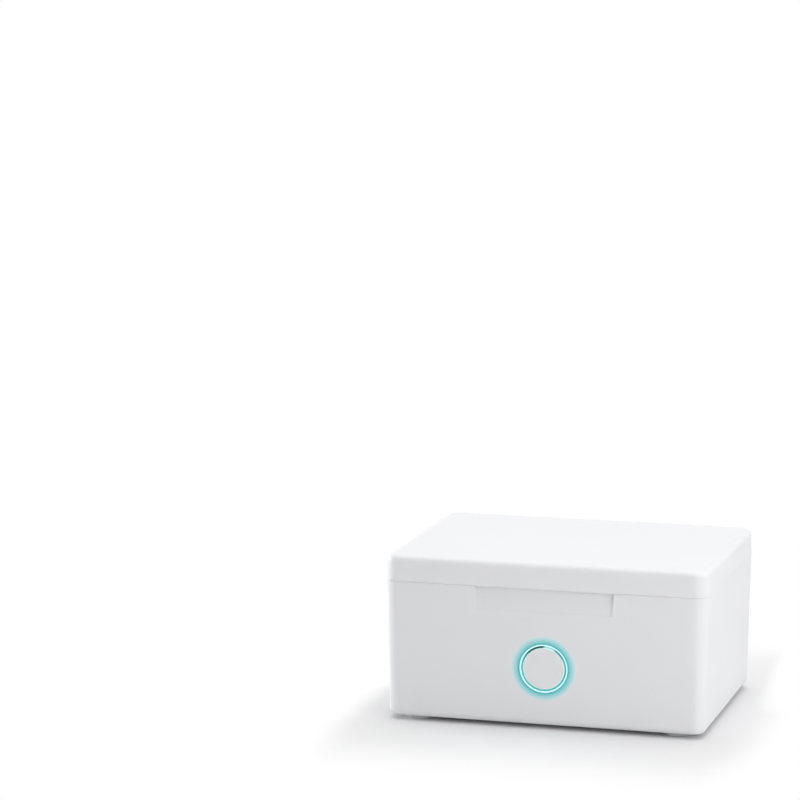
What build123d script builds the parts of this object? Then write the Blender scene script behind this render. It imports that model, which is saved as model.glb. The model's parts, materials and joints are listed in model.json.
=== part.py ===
from build123d import *

import os
from math import cos, hypot, radians, sin, tan

# Hearing aid dryer: a hinged box with a drying chamber, warm air, UV-C light and one lit button.
# Frame: X to the right, Y to the back, Z up. Origin on the table, under the middle of the box.
# All sizes are in millimetres.

# ---------------------------------------------------------------- whole box
WIDTH = 115.0
DEPTH = 87.7
HEIGHT = 58.8
CORNER_R = 5.6
PARTING_Z = 49.8            # upper rim of the base
PARTING_GAP = 0.07          # open line between base and lid
PARTING_EDGE = 0.06
SHELL_STEP = 0.1            # the base stands this far inside the lid's edge
WALL = 2.0
OVERCUT = 1.0               # how far a cutting tool runs past the face it opens
ROOT = 0.5                  # how far a rib or boss reaches into the wall it grows from

# ---------------------------------------------------------------- lid
LID_DRAFT = 2.4            # degrees
LID_TOP = 1.7
LID_EDGE_R = 2.1
LID_INSIDE_R = 1.0
LINER_GAP = 0.35
LINER_DROP = 1.0            # the liner's frame reaches this far below the base's rim
LINER_FRAME = 2.0
LINER_WALL = 1.5
LINER_RECESS = 6.2          # depth of the hollow in the liner
REFLECTOR = 0.5
REFLECTOR_GAP = 0.7
SEAL_WIDTH = 2.2
SEAL_GROOVE = 0.8
SEAL_GROOVE_GAP = 0.1
SEAL_LIFT = 0.2             # seal above the deck when the lid is shut
SEAL_OUT = 4.2              # middle of the seal, outside the chamber's wall
PULL_LEDGE = 1.9
PULL_LEDGE_GAP = 0.2        # ledge to the recess's wall, seen from above
LINER_SCREW_IN_X = 7.5
LINER_SCREW_IN_Y = 9.8
LINER_BOSS_R = 2.2

# ---------------------------------------------------------------- hinge
HINGE_IN = 23.5             # middle of each hinge, from the side of the box
HINGE_BACK = 3.3            # axis, from the lid's back face
POST_HALF = 6.0
POST_R = 2.6
POST_WEB_BACK = 1.2
POST_RIM_DROP = 0.2
POST_DOWN = 10.0            # the post reaches this far below the base's rim
KNUCKLE_R = 2.8
KNUCKLE_WIDTH = 5.0
KNUCKLE_INSET = 0.4         # knuckle's flat, inside the lid's back face
HINGE_SIDE_GAP = 0.4
PIN_R = 1.0
PIN_CLEARANCE = 0.05
PIN_INSET = 0.3
PIN_EDGE = 0.2
SWING_GAP = 0.35            # room round the lid's back edge as it swings
SWING_TAPER = 3.8           # length of the relief's tapered ends
SWING_END_GAP = 0.49
LINER_HINGE_GAP = 0.5

# ---------------------------------------------------------------- base
BASE_DRAFT = 1.07           # degrees
BASE_EDGE_R = 2.5
BASE_INSIDE_R = 1.0
FLOOR = 2.0
STAND = 1.5                 # table to the underside of the base
RECESS_HALF = 24.8
RECESS_HEIGHT = 8.0
RECESS_DEPTH = 1.8          # at the base's rim
RECESS_FOOT = 0.25          # depth at the recess's lower edge
RECESS_WALL = 1.8
RECESS_SIDE_DRAFT = 4.0     # degrees
RECESS_GAP = 0.5            # room between the recess's wall and the deck or liner
RIB_WIDTH = 1.5
RIB_OUT = 2.2
RIB_PITCH = 24.0

# ---------------------------------------------------------------- feet and case screws
FOOT_R = 5.0
FOOT_GAP = 0.1
FOOT_SUNK = 0.8
FOOT_EDGE_R = 0.5
FOOT_IN_X = 11.5
FOOT_IN_Y = 9.25
CASE_BOSS_R = 4.6
CASE_BOSS_TOP = 7.0
CASE_POST_R = 3.2
CASE_SCREW_R = 1.2
CASE_HOLE_R = 1.6
CASE_HEAD_R = 2.5
CASE_HEAD = 1.8
CASE_SEAT_Z = 5.2
CASE_SCREW_LENGTH = 14.0
HEAD_GAP = 0.3

# ---------------------------------------------------------------- deck and chamber
DECK_DROP = 2.0             # deck below the base's rim
DECK = 2.0
DECK_GAP = 0.3
CHAMBER_IN_X = 13.5         # chamber's inner faces, from the sides of the box
CHAMBER_IN_FRONT = 17.75
CHAMBER_IN_BACK = 14.75
CHAMBER_WALL = 2.0
CHAMBER_CORNER_R = 6.0
CHAMBER_LOW = 24.0
GRILLE_SEAT_Z = 28.5
GRILLE_SEAT = 1.2
GRILLE = 1.5
GRILLE_GAP = 0.2
SLOT_WIDTH = 2.2
SLOT_LENGTH = 14.0
SLOT_PITCH_X = 5.0
SLOT_PITCH_Y = 17.0
AIR_SLOT = 2.0
AIR_SLOT_HEIGHT = 9.0
AIR_SLOT_PITCH = 6.0
AIR_SLOT_Z = 38.5
AIR_HOLE_IN = 1.0           # hole in the chamber's floor, inside the fan's bore

# ---------------------------------------------------------------- magnets and lid sensor
MAGNET_R = 3.0
MAGNET = 2.0
MAGNET_X = 36.0
MAGNET_IN_Y = 10.25
MAGNET_WALL = 0.8
MAGNET_POCKET_GAP = 0.05
SENSOR_IN_X = 7.5
SENSOR_Y = -19.0
SENSOR_BOARD_X = 5.0
SENSOR_BOARD_Y = 12.0
SENSOR_BOARD = 1.0
SENSOR_DROP = 1.6
SENSOR_PEG_R = 0.9
SENSOR_PEG_END = 0.5        # how far a peg stands out below the board
SENSOR_CORNER_R = 0.6
SENSOR_CHIP = (2.0, 3.0, 0.9)
SENSOR_MAGNET_R = 2.0

# ---------------------------------------------------------------- button
BUTTON_Z = 21.85
BUTTON_R = 7.45
BUTTON_EDGE = 0.3
BUTTON_FACE = 1.6
BUTTON_SKIRT = 1.2
BUTTON_FLANGE = 0.8
BUTTON_FLANGE_GAP = 0.35    # flange to the side of the ring's pocket
BUTTON_REST_GAP = 0.2
BUTTON_STEM_R = 1.8
BUTTON_SIDE_GAP = 0.25
GROOVE = 1.0                # depth of the dark groove round the button
GROOVE_WIDE = 0.55
RING_FACE = 0.8             # width of the lit ring
RING_HOLE_GAP = 0.1
RING_LIP = 1.85             # flange behind the wall, beyond the lit ring
RING_FLANGE = 1.4
RING_SKIRT_IN = 0.4
RING_SKIRT = 1.5
RING_LED_GAP = 0.3
STEM_GAP = 0.05
SWITCH_SIDE = 6.2
SWITCH_HEIGHT = 2.8
SWITCH_CORNER = 0.6
PLUNGER_R = 1.7
PLUNGER_GAP = 0.1
PLUNGER_OUT = 1.15          # how far the plunger stands out of the switch
PLUNGER_IN = 0.8            # plunger's inner end, in front of the board
PLUNGER_END_GAP = 0.6       # room behind the plunger for its travel
PLUNGER_EDGE = 0.2
BOARD_FRONT = 9.4           # button board's front face, behind the front of the wall
BUTTON_BOARD = 1.2
BUTTON_BOARD_R = 3.0
BUTTON_BOARD_EDGE = 3.5     # screw's middle to the board's end
BOARD_BOSS_GAP = 2.5        # boss to the ring's flange
BOARD_BOSS_R = 2.4
LED_IN = 0.8                # lamp's middle, inside the ring's skirt
LED_COUNT = 6
LED = (1.2, 2.0, 0.9)

# ---------------------------------------------------------------- small screws
SMALL_SHANK_R = 0.8
SMALL_HEAD_R = 1.9
SMALL_HEAD = 1.0
SMALL_HOLE_R = 1.1
SMALL_LENGTH = 5.0

# ---------------------------------------------------------------- fan, duct and heater
FAN = 40.0
FAN_HEIGHT = 10.0
FAN_CORNER_R = 3.0
FAN_HOLE_IN = 4.0           # screw holes, from the fan's sides
FAN_SCREW_R = 1.25
FAN_SCREW_HOLE_R = 1.7
FAN_HEAD_R = 2.6
FAN_HEAD = 1.6
FAN_EDGE = 1.0              # frame's bore to its sides
FAN_RIM = 2.5               # thickness of the frame's two square rims
FAN_WALL = 0.9
FAN_PILLAR_R = 3.2
FAN_IN_X = 35.5             # fan's middle, from the right side of the box
FAN_LOW = 6.0
FAN_BASE_LIP = 0.5          # motor's plate, beyond the hub
FAN_BASE = 1.4
STRUT_WIDTH = 3.0
STRUT_HEIGHT = 2.0
BEARING_R = 2.6
BEARING_TOP = 7.0
SHAFT_R = 1.5
SHAFT_CLEARANCE = 0.05
SHAFT_END_GAP = 0.3
MAGNET_RING_GAP = 0.5       # rotor's magnet to the stator
MAGNET_RING_IN = 0.3
STATOR_R = 8.5
STATOR_LOW = 2.2
STATOR_TOP = 6.5
STATOR_CORE = 1.6
STATOR_ARM = 2.6
STATOR_ARM_IN = 0.8
STATOR_SHOE = 1.7
STATOR_SHOE_WIDE = 6.4
HUB_R = 11.0
HUB_WALL = 1.2
HUB_LOW = 2.2
HUB_TOP = 9.2
BLADE_TIP_GAP = 0.6
BLADE_COUNT = 7
BLADE_LEAN = 42.0           # degrees
BLADE_THICK = 1.0
BLADE_INSET = 0.2           # blades stop this far inside the hub's two ends
DUCT_WIDER = 1.0
DUCT_WALL = 3.0
DUCT_CORNER_R = 4.0
DUCT_INSIDE_R = 1.0
DUCT_BOSS_R = 3.2
FAN_BOSS_R = 2.8            # bosses for the fan's screws, in the chamber's floor
FAN_BOSS_CAP = 0.8
FAN_BOSS_GAP = 0.2          # boss to the underside of the grille
FAN_SCREW_TIP_GAP = 0.2
HEATER_CORE = 3.0
HEATER_HEIGHT = 5.0
HEATER_LIFT = 1.5
HEATER_GAP = 0.2
FIN_BLOCK = 9.0
FIN_PLATE = 0.6
FIN = 0.5
FIN_PITCH = 2.1
CUTOFF_R = 1.5
CUTOFF_LONG = 7.0
CUTOFF_FORWARD = 8.0
CUTOFF_UP = 4.0
CUTOFF_CLIP = 2.0
CUTOFF_CLIP_HALF = 2.5
CUTOFF_SHEET = 1.0

# ---------------------------------------------------------------- UV-C light
UV_Z = 38.0
UV_OPENING_X = 20.0
UV_OPENING_Z = 8.0
UV_WINDOW_LAP = 1.1
UV_WINDOW = 1.2
UV_WINDOW_GAP = 0.1
UV_WINDOW_R = 1.0           # window's corners
UV_BOARD_X = 36.0
UV_BOARD_Z = 11.0
UV_BOARD = 1.0
UV_BOSS_X = 15.5
UV_BOSS = 2.6               # height of the bosses behind the board
UV_BOSS_R = 2.3
UV_LED = 3.5
UV_LED_HEIGHT = 1.3
UV_LED_PITCH = 6.0
UV_LENS_R = 1.25
UV_LENS = 0.4

# ---------------------------------------------------------------- main board and inlet
BOARD_LEFT_IN = 16.5
BOARD_WIDE = 36.0
BOARD_FRONT_IN = 18.75
BOARD_BACK_IN = 3.9
BOARD_LOW = 6.0
BOARD = 1.6
BOARD_SCREW_IN = 3.0
BOARD_POST_R = 2.6
BOARD_CORNER_R = 1.0
PLUG_HIGH = 5.0
PLUG_HALF = 2.6
PLUG_IN = 4.0               # plug's middle, from the board's edge
CAPACITOR_R = 3.15
CAPACITOR_HIGH = 8.0
CAPACITOR_EDGE = 0.5
CAPACITOR_X = (-9, 0, 9)
CAPACITOR_Y = 15
CHIPS = (                   # middle x and y, from the middles of board and chamber; then the size
    (0, -4, 7, 7, 1),
    (9, -6, 5, 6, 1.7),
    (-9, 4, 7, 7, 4),
    (7, 6, 6.5, 5, 2.2),
    (-9, -9, 4, 3, 1.2),
)
LEAD_R = 0.8
LEAD_BEND = 2.5
LEAD_RISE = 2.6
LEAD_RUN = 4.0              # long leads run this far above the plugs
SENSOR_LEAD_Y = 0.8
BUTTON_LEAD_DOWN = 6.0
BUTTON_LEAD_IN = 3.0        # where the lead meets the board, from the board's end
BUTTON_LEAD_TURN = 4.5
HEATER_LEAD_UP = 4.0
UV_LEAD_BEHIND = 2.6
UV_LEAD_IN = 6.0
UV_LEAD_DOWN = 3.0
USB_WIDE = 8.94
USB_HIGH = 3.26
USB_LONG = 7.35
USB_SHEET = 0.3
USB_TONGUE = 0.7
USB_TONGUE_WIDE = 6.69
USB_TONGUE_IN = 0.6
USB_BACK = 1.0
USB_OPENING_GAP = 0.3
USB_RECESS_X = 13.0
USB_RECESS_Z = 7.6
USB_RECESS = 0.9
USB_RECESS_R = 2.6
USB_SETBACK = 0.2
VENT_SLOT = 1.6
VENT_PITCH = 4.5
VENT_COUNT = 8
VENT_HEIGHT = 12.0
VENT_Z = 24.0
INTAKE_SLOT = 2.4
INTAKE_PITCH = 5.0
INTAKE_IN = 1.5             # slots stop this far inside the fan's bore

# ---------------------------------------------------------------- worked out from the above
half_x = WIDTH / 2
half_y = DEPTH / 2
lid_low = PARTING_Z + PARTING_GAP
lid_ceiling = HEIGHT - LID_TOP
deck_top = PARTING_Z - DECK_DROP
deck_low = deck_top - DECK
floor_top = STAND + FLOOR
liner_low = PARTING_Z - LINER_DROP
liner_top = liner_low + LINER_FRAME
recess_low = PARTING_Z - RECESS_HEIGHT
chamber_front = -half_y + CHAMBER_IN_FRONT
chamber_back = half_y - CHAMBER_IN_BACK
chamber_x = half_x - CHAMBER_IN_X
chamber_y = (chamber_back - chamber_front) / 2
chamber_mid = (chamber_back + chamber_front) / 2
foot_x = half_x - FOOT_IN_X
foot_y = half_y - FOOT_IN_Y
hinge_x = half_x - HINGE_IN
fan_x = half_x - FAN_IN_X
fan_hole = FAN / 2 - FAN_HOLE_IN
fan_bore_r = FAN / 2 - FAN_EDGE
blade_r = fan_bore_r - BLADE_TIP_GAP
fan_base_r = HUB_R + FAN_BASE_LIP
air_hole_r = fan_bore_r - AIR_HOLE_IN
intake_r = fan_bore_r - INTAKE_IN
fan_y = chamber_mid
duct_low = FAN_LOW + FAN_HEIGHT
fan_screw_top = GRILLE_SEAT_Z - FAN_BOSS_GAP - FAN_BOSS_CAP
sensor_x = -half_x + SENSOR_IN_X
magnet_y = -half_y + MAGNET_IN_Y
board_left = -half_x + BOARD_LEFT_IN
board_right = board_left + BOARD_WIDE
board_front = -half_y + BOARD_FRONT_IN
board_back = half_y - BOARD_BACK_IN
board_top = BOARD_LOW + BOARD
usb_x = (board_left + board_right) / 2
usb_z = board_top + USB_HIGH / 2
uv_board_front = chamber_back + CHAMBER_WALL + UV_BOSS
ring_bore_r = BUTTON_R + BUTTON_SIDE_GAP
ring_face_in_r = BUTTON_R + GROOVE_WIDE
ring_r = ring_face_in_r + RING_FACE
ring_flange_r = ring_r + RING_LIP
ring_skirt_r = ring_flange_r - RING_SKIRT_IN
ring_pocket_r = ring_skirt_r - RING_SKIRT
ring_back = BOARD_FRONT - LED[2] - RING_LED_GAP
led_ring_r = ring_skirt_r - LED_IN
stem_back = BOARD_FRONT - SWITCH_HEIGHT - PLUNGER_OUT - STEM_GAP
board_boss_x = ring_flange_r + BOARD_BOSS_GAP + BOARD_BOSS_R


def base_inset(z):
    """How far the base's outer face stands inside the lid's edge at height z."""
    return SHELL_STEP + (PARTING_Z - z) * tan(radians(BASE_DRAFT))


def lid_inset(z):
    """How far the lid's outer face has drawn in at height z."""
    return (z - lid_low) * tan(radians(LID_DRAFT))


hinge_z = lid_ceiling - KNUCKLE_R
hinge_y = half_y - lid_inset(hinge_z) - HINGE_BACK
front_face = -half_y + base_inset(BUTTON_Z)
back_face = half_y - base_inset(usb_z)
button_plane = Plane(
    origin=(0, front_face, BUTTON_Z),
    x_dir=(1, 0, 0),
    z_dir=(0, -cos(radians(BASE_DRAFT)), -sin(radians(BASE_DRAFT))),
)


# ---------------------------------------------------------------- small helpers
def slab(x_low, x_high, y_low, y_high, z_low, z_high):
    """A box between two corners."""
    middle = Pos((x_low + x_high) / 2, (y_low + y_high) / 2, (z_low + z_high) / 2)
    return middle * Box(x_high - x_low, y_high - y_low, z_high - z_low)


def block_at(x, y, low, wide, deep, high):
    """A box that stands on height low, with its middle at x and y."""
    return Pos(x, y, low + high / 2) * Box(wide, deep, high)


def rod(radius, low, high, x=0.0, y=0.0):
    """An upright cylinder."""
    return Pos(x, y, (low + high) / 2) * Cylinder(radius, high - low)


def tube(outer, inner, low, high, x=0.0, y=0.0):
    """An upright pipe."""
    return rod(outer, low, high, x, y) - rod(inner, low - OVERCUT, high + OVERCUT, x, y)


def plate(side_x, side_y, corner, low, high, x=0.0, y=0.0):
    """An upright prism on a rectangle with rounded corners; side_x and side_y are half sides."""
    outline = RectangleRounded(2 * side_x, 2 * side_y, corner)
    return Pos(x, y, low) * extrude(outline, amount=high - low)


def turned(points):
    """A solid turned round Z from a closed outline of (radius, height) points."""
    return revolve(Plane.XZ * Polygon(*points, align=None), axis=Axis.Z)


def along_x(upright, y, z):
    """Lay an upright piece along X, at this place in Y and Z."""
    return Pos(0, y, z) * Rot(0, 90, 0) * upright


def prism_x(points, x_low, x_high):
    """A prism along X on an outline of (y, z) points."""
    return Pos(x_low, 0, 0) * extrude(Plane.YZ * Polygon(*points, align=None), amount=x_high - x_low)


def drafted(wide_z, narrow_z, inset, draft):
    """The box's outline, drawn in by inset at wide_z, tapering to narrow_z."""
    outline = RectangleRounded(2 * (half_x - inset), 2 * (half_y - inset), CORNER_R - inset)
    block = extrude(outline, amount=abs(narrow_z - wide_z), taper=draft)
    if narrow_z < wide_z:
        block = Rot(180, 0, 0) * block
    return Pos(0, 0, wide_z) * block


def rim(body, direction):
    """The edges round a body's highest (1) or lowest (-1) face."""
    return body.faces().sort_by(Axis.Z)[-1 if direction > 0 else 0].edges()


def corners(x, y):
    """The four places (x, y) mirrored in both ways."""
    return [(sx * x, sy * y) for sx in (-1, 1) for sy in (-1, 1)]


def solids_of(pieces):
    """One node that holds several separate solids."""
    return Compound(children=list(pieces))


def screw(shank_r, length, head_r, head):
    """A pan-head screw that points up, with its seat at z = 0 and a cross recess in its head."""
    body = rod(shank_r, 0, length) + rod(head_r, -head, 0)
    body = chamfer(rim(body, -1), head * 0.3)
    arm = head_r * 0.62
    slot = head * 0.22
    for side_x, side_y in ((arm, slot), (slot, arm)):
        body -= slab(-side_x, side_x, -side_y, side_y, -head - OVERCUT, -head * 0.45)
    return body


def lead(radius, bend, points):
    """A round lead along straight runs joined by arcs."""
    route = FilletPolyline(*points, radius=bend)
    section = Plane(origin=route @ 0, z_dir=route % 0) * Circle(radius)
    return sweep(section, path=route)


# ---------------------------------------------------------------- lid
def lid_knuckle(x_low, x_high):
    """One knuckle of the lid, between the pin and the lid's back corner."""
    back = HINGE_BACK - KNUCKLE_INSET
    barrel = along_x(rod(KNUCKLE_R, x_low, x_high), hinge_y, hinge_z)
    up = slab(x_low, x_high, hinge_y - KNUCKLE_R, hinge_y + back, hinge_z, lid_ceiling + LID_TOP / 4)
    rear = slab(x_low, x_high, hinge_y, hinge_y + back, hinge_z - KNUCKLE_R, hinge_z)
    return barrel + up + rear


def liner_screw_places():
    return corners(half_x - LINER_SCREW_IN_X, half_y - LINER_SCREW_IN_Y)


def lid_shell():
    outer = drafted(lid_low, HEIGHT, 0, LID_DRAFT)
    outer = fillet(rim(outer, 1), LID_EDGE_R)
    outer = chamfer(rim(outer, -1), PARTING_EDGE)
    hollow_low = lid_low - OVERCUT
    hollow = drafted(hollow_low, lid_ceiling, WALL + lid_inset(hollow_low), LID_DRAFT)
    hollow = fillet(rim(hollow, 1), LID_INSIDE_R)
    shell = outer - hollow
    ledge_front = -half_y + WALL / 2
    ledge_back = -half_y + base_inset(PARTING_Z) + RECESS_DEPTH + RECESS_WALL - PULL_LEDGE_GAP
    shell += slab(-RECESS_HALF, RECESS_HALF, ledge_front, ledge_back, lid_low, lid_low + PULL_LEDGE)
    for x, y in liner_screw_places():
        shell += rod(LINER_BOSS_R, liner_top, lid_ceiling + LID_TOP / 4, x, y)
        shell -= rod(SMALL_SHANK_R, liner_top - OVERCUT, liner_top + SMALL_LENGTH, x, y)
    inner = POST_HALF + HINGE_SIDE_GAP
    for x in (-hinge_x, hinge_x):
        for side in (-1, 1):
            ends = sorted((x + side * inner, x + side * (inner + KNUCKLE_WIDTH)))
            shell += lid_knuckle(*ends)
        notch_low = lid_low - OVERCUT
        shell -= slab(x - inner, x + inner, hinge_y - 2 * KNUCKLE_R, half_y + OVERCUT, notch_low, lid_ceiling)
        reach = inner + KNUCKLE_WIDTH + OVERCUT
        shell -= along_x(rod(PIN_R, x - reach, x + reach), hinge_y, hinge_z)
    return shell


def hinge_pins():
    reach = POST_HALF + HINGE_SIDE_GAP + KNUCKLE_WIDTH - PIN_INSET
    pins = []
    for x in (-hinge_x, hinge_x):
        pin = chamfer(rod(PIN_R, -reach, reach).edges(), PIN_EDGE)
        pins.append(Pos(x, 0, 0) * along_x(pin, hinge_y, hinge_z))
    return solids_of(pins)


def liner_outline(low, high):
    """The liner's frame: inside both shells, clear of the hinges and of the finger recess."""
    inset = SHELL_STEP + WALL + LINER_GAP
    body = plate(half_x - inset, half_y - inset, CORNER_R - inset, low, high)
    back = hinge_y - KNUCKLE_R - LINER_HINGE_GAP
    body -= slab(-half_x, half_x, back, half_y, low - OVERCUT, high + OVERCUT)
    notch_x = RECESS_HALF + RECESS_WALL + RECESS_GAP
    notch_y = -half_y + base_inset(PARTING_Z) + RECESS_DEPTH + RECESS_WALL + RECESS_GAP
    body -= slab(-notch_x, notch_x, -half_y, notch_y, low - OVERCUT, high + OVERCUT)
    return body


def seal_band(half_width, low, high):
    """A band of this half width round the chamber."""
    out_x = chamber_x + SEAL_OUT
    out_y = chamber_y + SEAL_OUT
    corner = CHAMBER_CORNER_R + SEAL_OUT
    wide = plate(out_x + half_width, out_y + half_width, corner + half_width, low, high, 0, chamber_mid)
    narrow = plate(
        out_x - half_width,
        out_y - half_width,
        corner - half_width,
        low - OVERCUT,
        high + OVERCUT,
        0,
        chamber_mid,
    )
    return wide - narrow


def lid_liner():
    ceiling_low = liner_low + LINER_RECESS
    body = liner_outline(liner_low, liner_top)
    wall_x = chamber_x + LINER_WALL
    wall_y = chamber_y + LINER_WALL
    wall_r = CHAMBER_CORNER_R + LINER_WALL
    body += plate(wall_x, wall_y, wall_r, liner_low, ceiling_low + LINER_WALL, 0, chamber_mid)
    hollow_low = liner_low - OVERCUT
    hollow = plate(chamber_x, chamber_y, CHAMBER_CORNER_R, hollow_low, ceiling_low, 0, chamber_mid)
    body -= fillet(rim(hollow, 1), REFLECTOR)
    body -= seal_band(SEAL_WIDTH / 2 + SEAL_GROOVE_GAP, liner_low - OVERCUT, liner_low + SEAL_GROOVE)
    for x, y in liner_screw_places():
        body -= rod(SMALL_HOLE_R, liner_low - OVERCUT, liner_top + OVERCUT, x, y)
        body -= rod(SMALL_HEAD_R + HEAD_GAP, liner_low - OVERCUT, liner_low + SMALL_HEAD, x, y)
    for x in (-MAGNET_X, MAGNET_X):
        inner = MAGNET_R + MAGNET_POCKET_GAP
        body += tube(inner + MAGNET_WALL, inner, liner_top, liner_top + MAGNET, x, magnet_y)
    inner = SENSOR_MAGNET_R + MAGNET_POCKET_GAP
    body += tube(inner + MAGNET_WALL, inner, liner_top, liner_top + MAGNET, sensor_x, SENSOR_Y)
    return body


def lid_reflector():
    top = liner_low + LINER_RECESS
    side_x = chamber_x - REFLECTOR_GAP
    side_y = chamber_y - REFLECTOR_GAP
    return plate(side_x, side_y, CHAMBER_CORNER_R - REFLECTOR_GAP, top - REFLECTOR, top, 0, chamber_mid)


def lid_seal():
    band = seal_band(SEAL_WIDTH / 2, deck_top + SEAL_LIFT, liner_low + SEAL_GROOVE)
    return fillet(rim(band, -1), SEAL_WIDTH * 0.3)


def liner_screws():
    one = screw(SMALL_SHANK_R, SMALL_LENGTH, SMALL_HEAD_R, SMALL_HEAD)
    return solids_of(Pos(x, y, liner_low + SMALL_HEAD) * one for x, y in liner_screw_places())


def lid_magnets():
    return solids_of(
        rod(MAGNET_R, liner_top, liner_top + MAGNET, x, magnet_y) for x in (-MAGNET_X, MAGNET_X)
    )


def sensor_magnet():
    return rod(SENSOR_MAGNET_R, liner_top, liner_top + MAGNET, sensor_x, SENSOR_Y)


# ---------------------------------------------------------------- base shell
def recess_block(extra, offset):
    """The finger recess as a solid; extra widens it, offset moves its sloping back face inwards."""
    foot = -half_y + base_inset(recess_low) + RECESS_FOOT + offset
    head = -half_y + base_inset(PARTING_Z) + RECESS_DEPTH + offset
    above = PARTING_Z + OVERCUT
    ahead = -half_y - 2 * OVERCUT
    side = [(ahead, recess_low), (foot, recess_low), (head, PARTING_Z), (head, above), (ahead, above)]
    wedge = prism_x(side, -half_x, half_x)
    wide = RECESS_HALF + extra
    narrow = wide - RECESS_HEIGHT * tan(radians(RECESS_SIDE_DRAFT))
    front = [(-narrow, recess_low), (narrow, recess_low), (wide, above), (-wide, above)]
    sheet = extrude(Plane.XZ * Polygon(*front, align=None), amount=half_y + 2 * OVERCUT)
    return wedge & sheet


def hinge_post(x):
    """A hinge post: the barrel, and a web down to the inside of the back wall."""
    low = PARTING_Z - POST_DOWN
    rim_z = PARTING_Z - POST_RIM_DROP
    wall = half_y - SHELL_STEP - WALL / 2
    side = [
        (hinge_y - POST_R, hinge_z),
        (hinge_y - POST_R, low + POST_R),
        (hinge_y, low),
        (wall, low),
        (wall, rim_z),
        (hinge_y + POST_WEB_BACK, rim_z),
        (hinge_y + POST_WEB_BACK, hinge_z),
    ]
    web = prism_x(side, x - POST_HALF, x + POST_HALF)
    return web + along_x(rod(POST_R, x - POST_HALF, x + POST_HALF), hinge_y, hinge_z)


def swing_relief():
    """What the lid's back edge sweeps through as it opens: a roller with tapered ends."""
    rise = lid_low - hinge_z
    full = hypot(half_y - hinge_y, rise) + SWING_GAP
    taper_from = half_x - CORNER_R + OVERCUT
    taper_to = taper_from + SWING_TAPER
    small = abs(rise) + SWING_END_GAP
    outline = [(0, -taper_to), (small, -taper_to), (full, -taper_from)]
    outline += [(full, taper_from), (small, taper_to), (0, taper_to)]
    return along_x(turned(outline), hinge_y, hinge_z)


def intake_slots(low, high):
    """Straight slots in the floor under the fan, clipped to a circle."""
    count = int((2 * (intake_r - INTAKE_SLOT)) // INTAKE_PITCH) + 1
    slots = None
    for step in range(count):
        offset = (step - (count - 1) / 2) * INTAKE_PITCH
        reach = (intake_r**2 - offset**2) ** 0.5
        outline = SlotOverall(2 * reach, INTAKE_SLOT)
        slot = Pos(fan_x, fan_y + offset, low) * extrude(outline, amount=high - low)
        slots = slot if slots is None else slots + slot
    return slots


def back_vents():
    """Upright slots in the back wall, behind the fan."""
    outline = SlotOverall(VENT_HEIGHT, VENT_SLOT, rotation=90)
    slots = None
    for step in range(VENT_COUNT):
        x = fan_x + (step - (VENT_COUNT - 1) / 2) * VENT_PITCH
        slot = Pos(x, half_y + OVERCUT, VENT_Z) * extrude(Plane.XZ * outline, amount=3 * WALL)
        slots = slot if slots is None else slots + slot
    return slots


def deck_ribs():
    """Ribs on the side walls and beside the finger recess, on which the deck rests."""
    ribs = None
    side = half_x - SHELL_STEP - WALL
    front = half_y - SHELL_STEP - WALL
    spots = []
    for sign in (-1, 1):
        for step in (-1, 0, 1):
            x_low, x_high = sorted((sign * (side - RIB_OUT), sign * (side + WALL / 2)))
            y = step * RIB_PITCH
            spots.append((x_low, x_high, y - RIB_WIDTH / 2, y + RIB_WIDTH / 2))
        x = sign * (RECESS_HALF + half_x - CORNER_R) / 2
        spots.append((x - RIB_WIDTH / 2, x + RIB_WIDTH / 2, -front - WALL / 2, -front + RIB_OUT))
    for x_low, x_high, y_low, y_high in spots:
        rib = slab(x_low, x_high, y_low, y_high, floor_top - FLOOR / 2, deck_low)
        ribs = rib if ribs is None else ribs + rib
    return ribs


def board_screw_places():
    return [
        (x, y)
        for x in (board_left + BOARD_SCREW_IN, board_right - BOARD_SCREW_IN)
        for y in (board_front + BOARD_SCREW_IN, board_back - 2 * BOARD_SCREW_IN)
    ]


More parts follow.
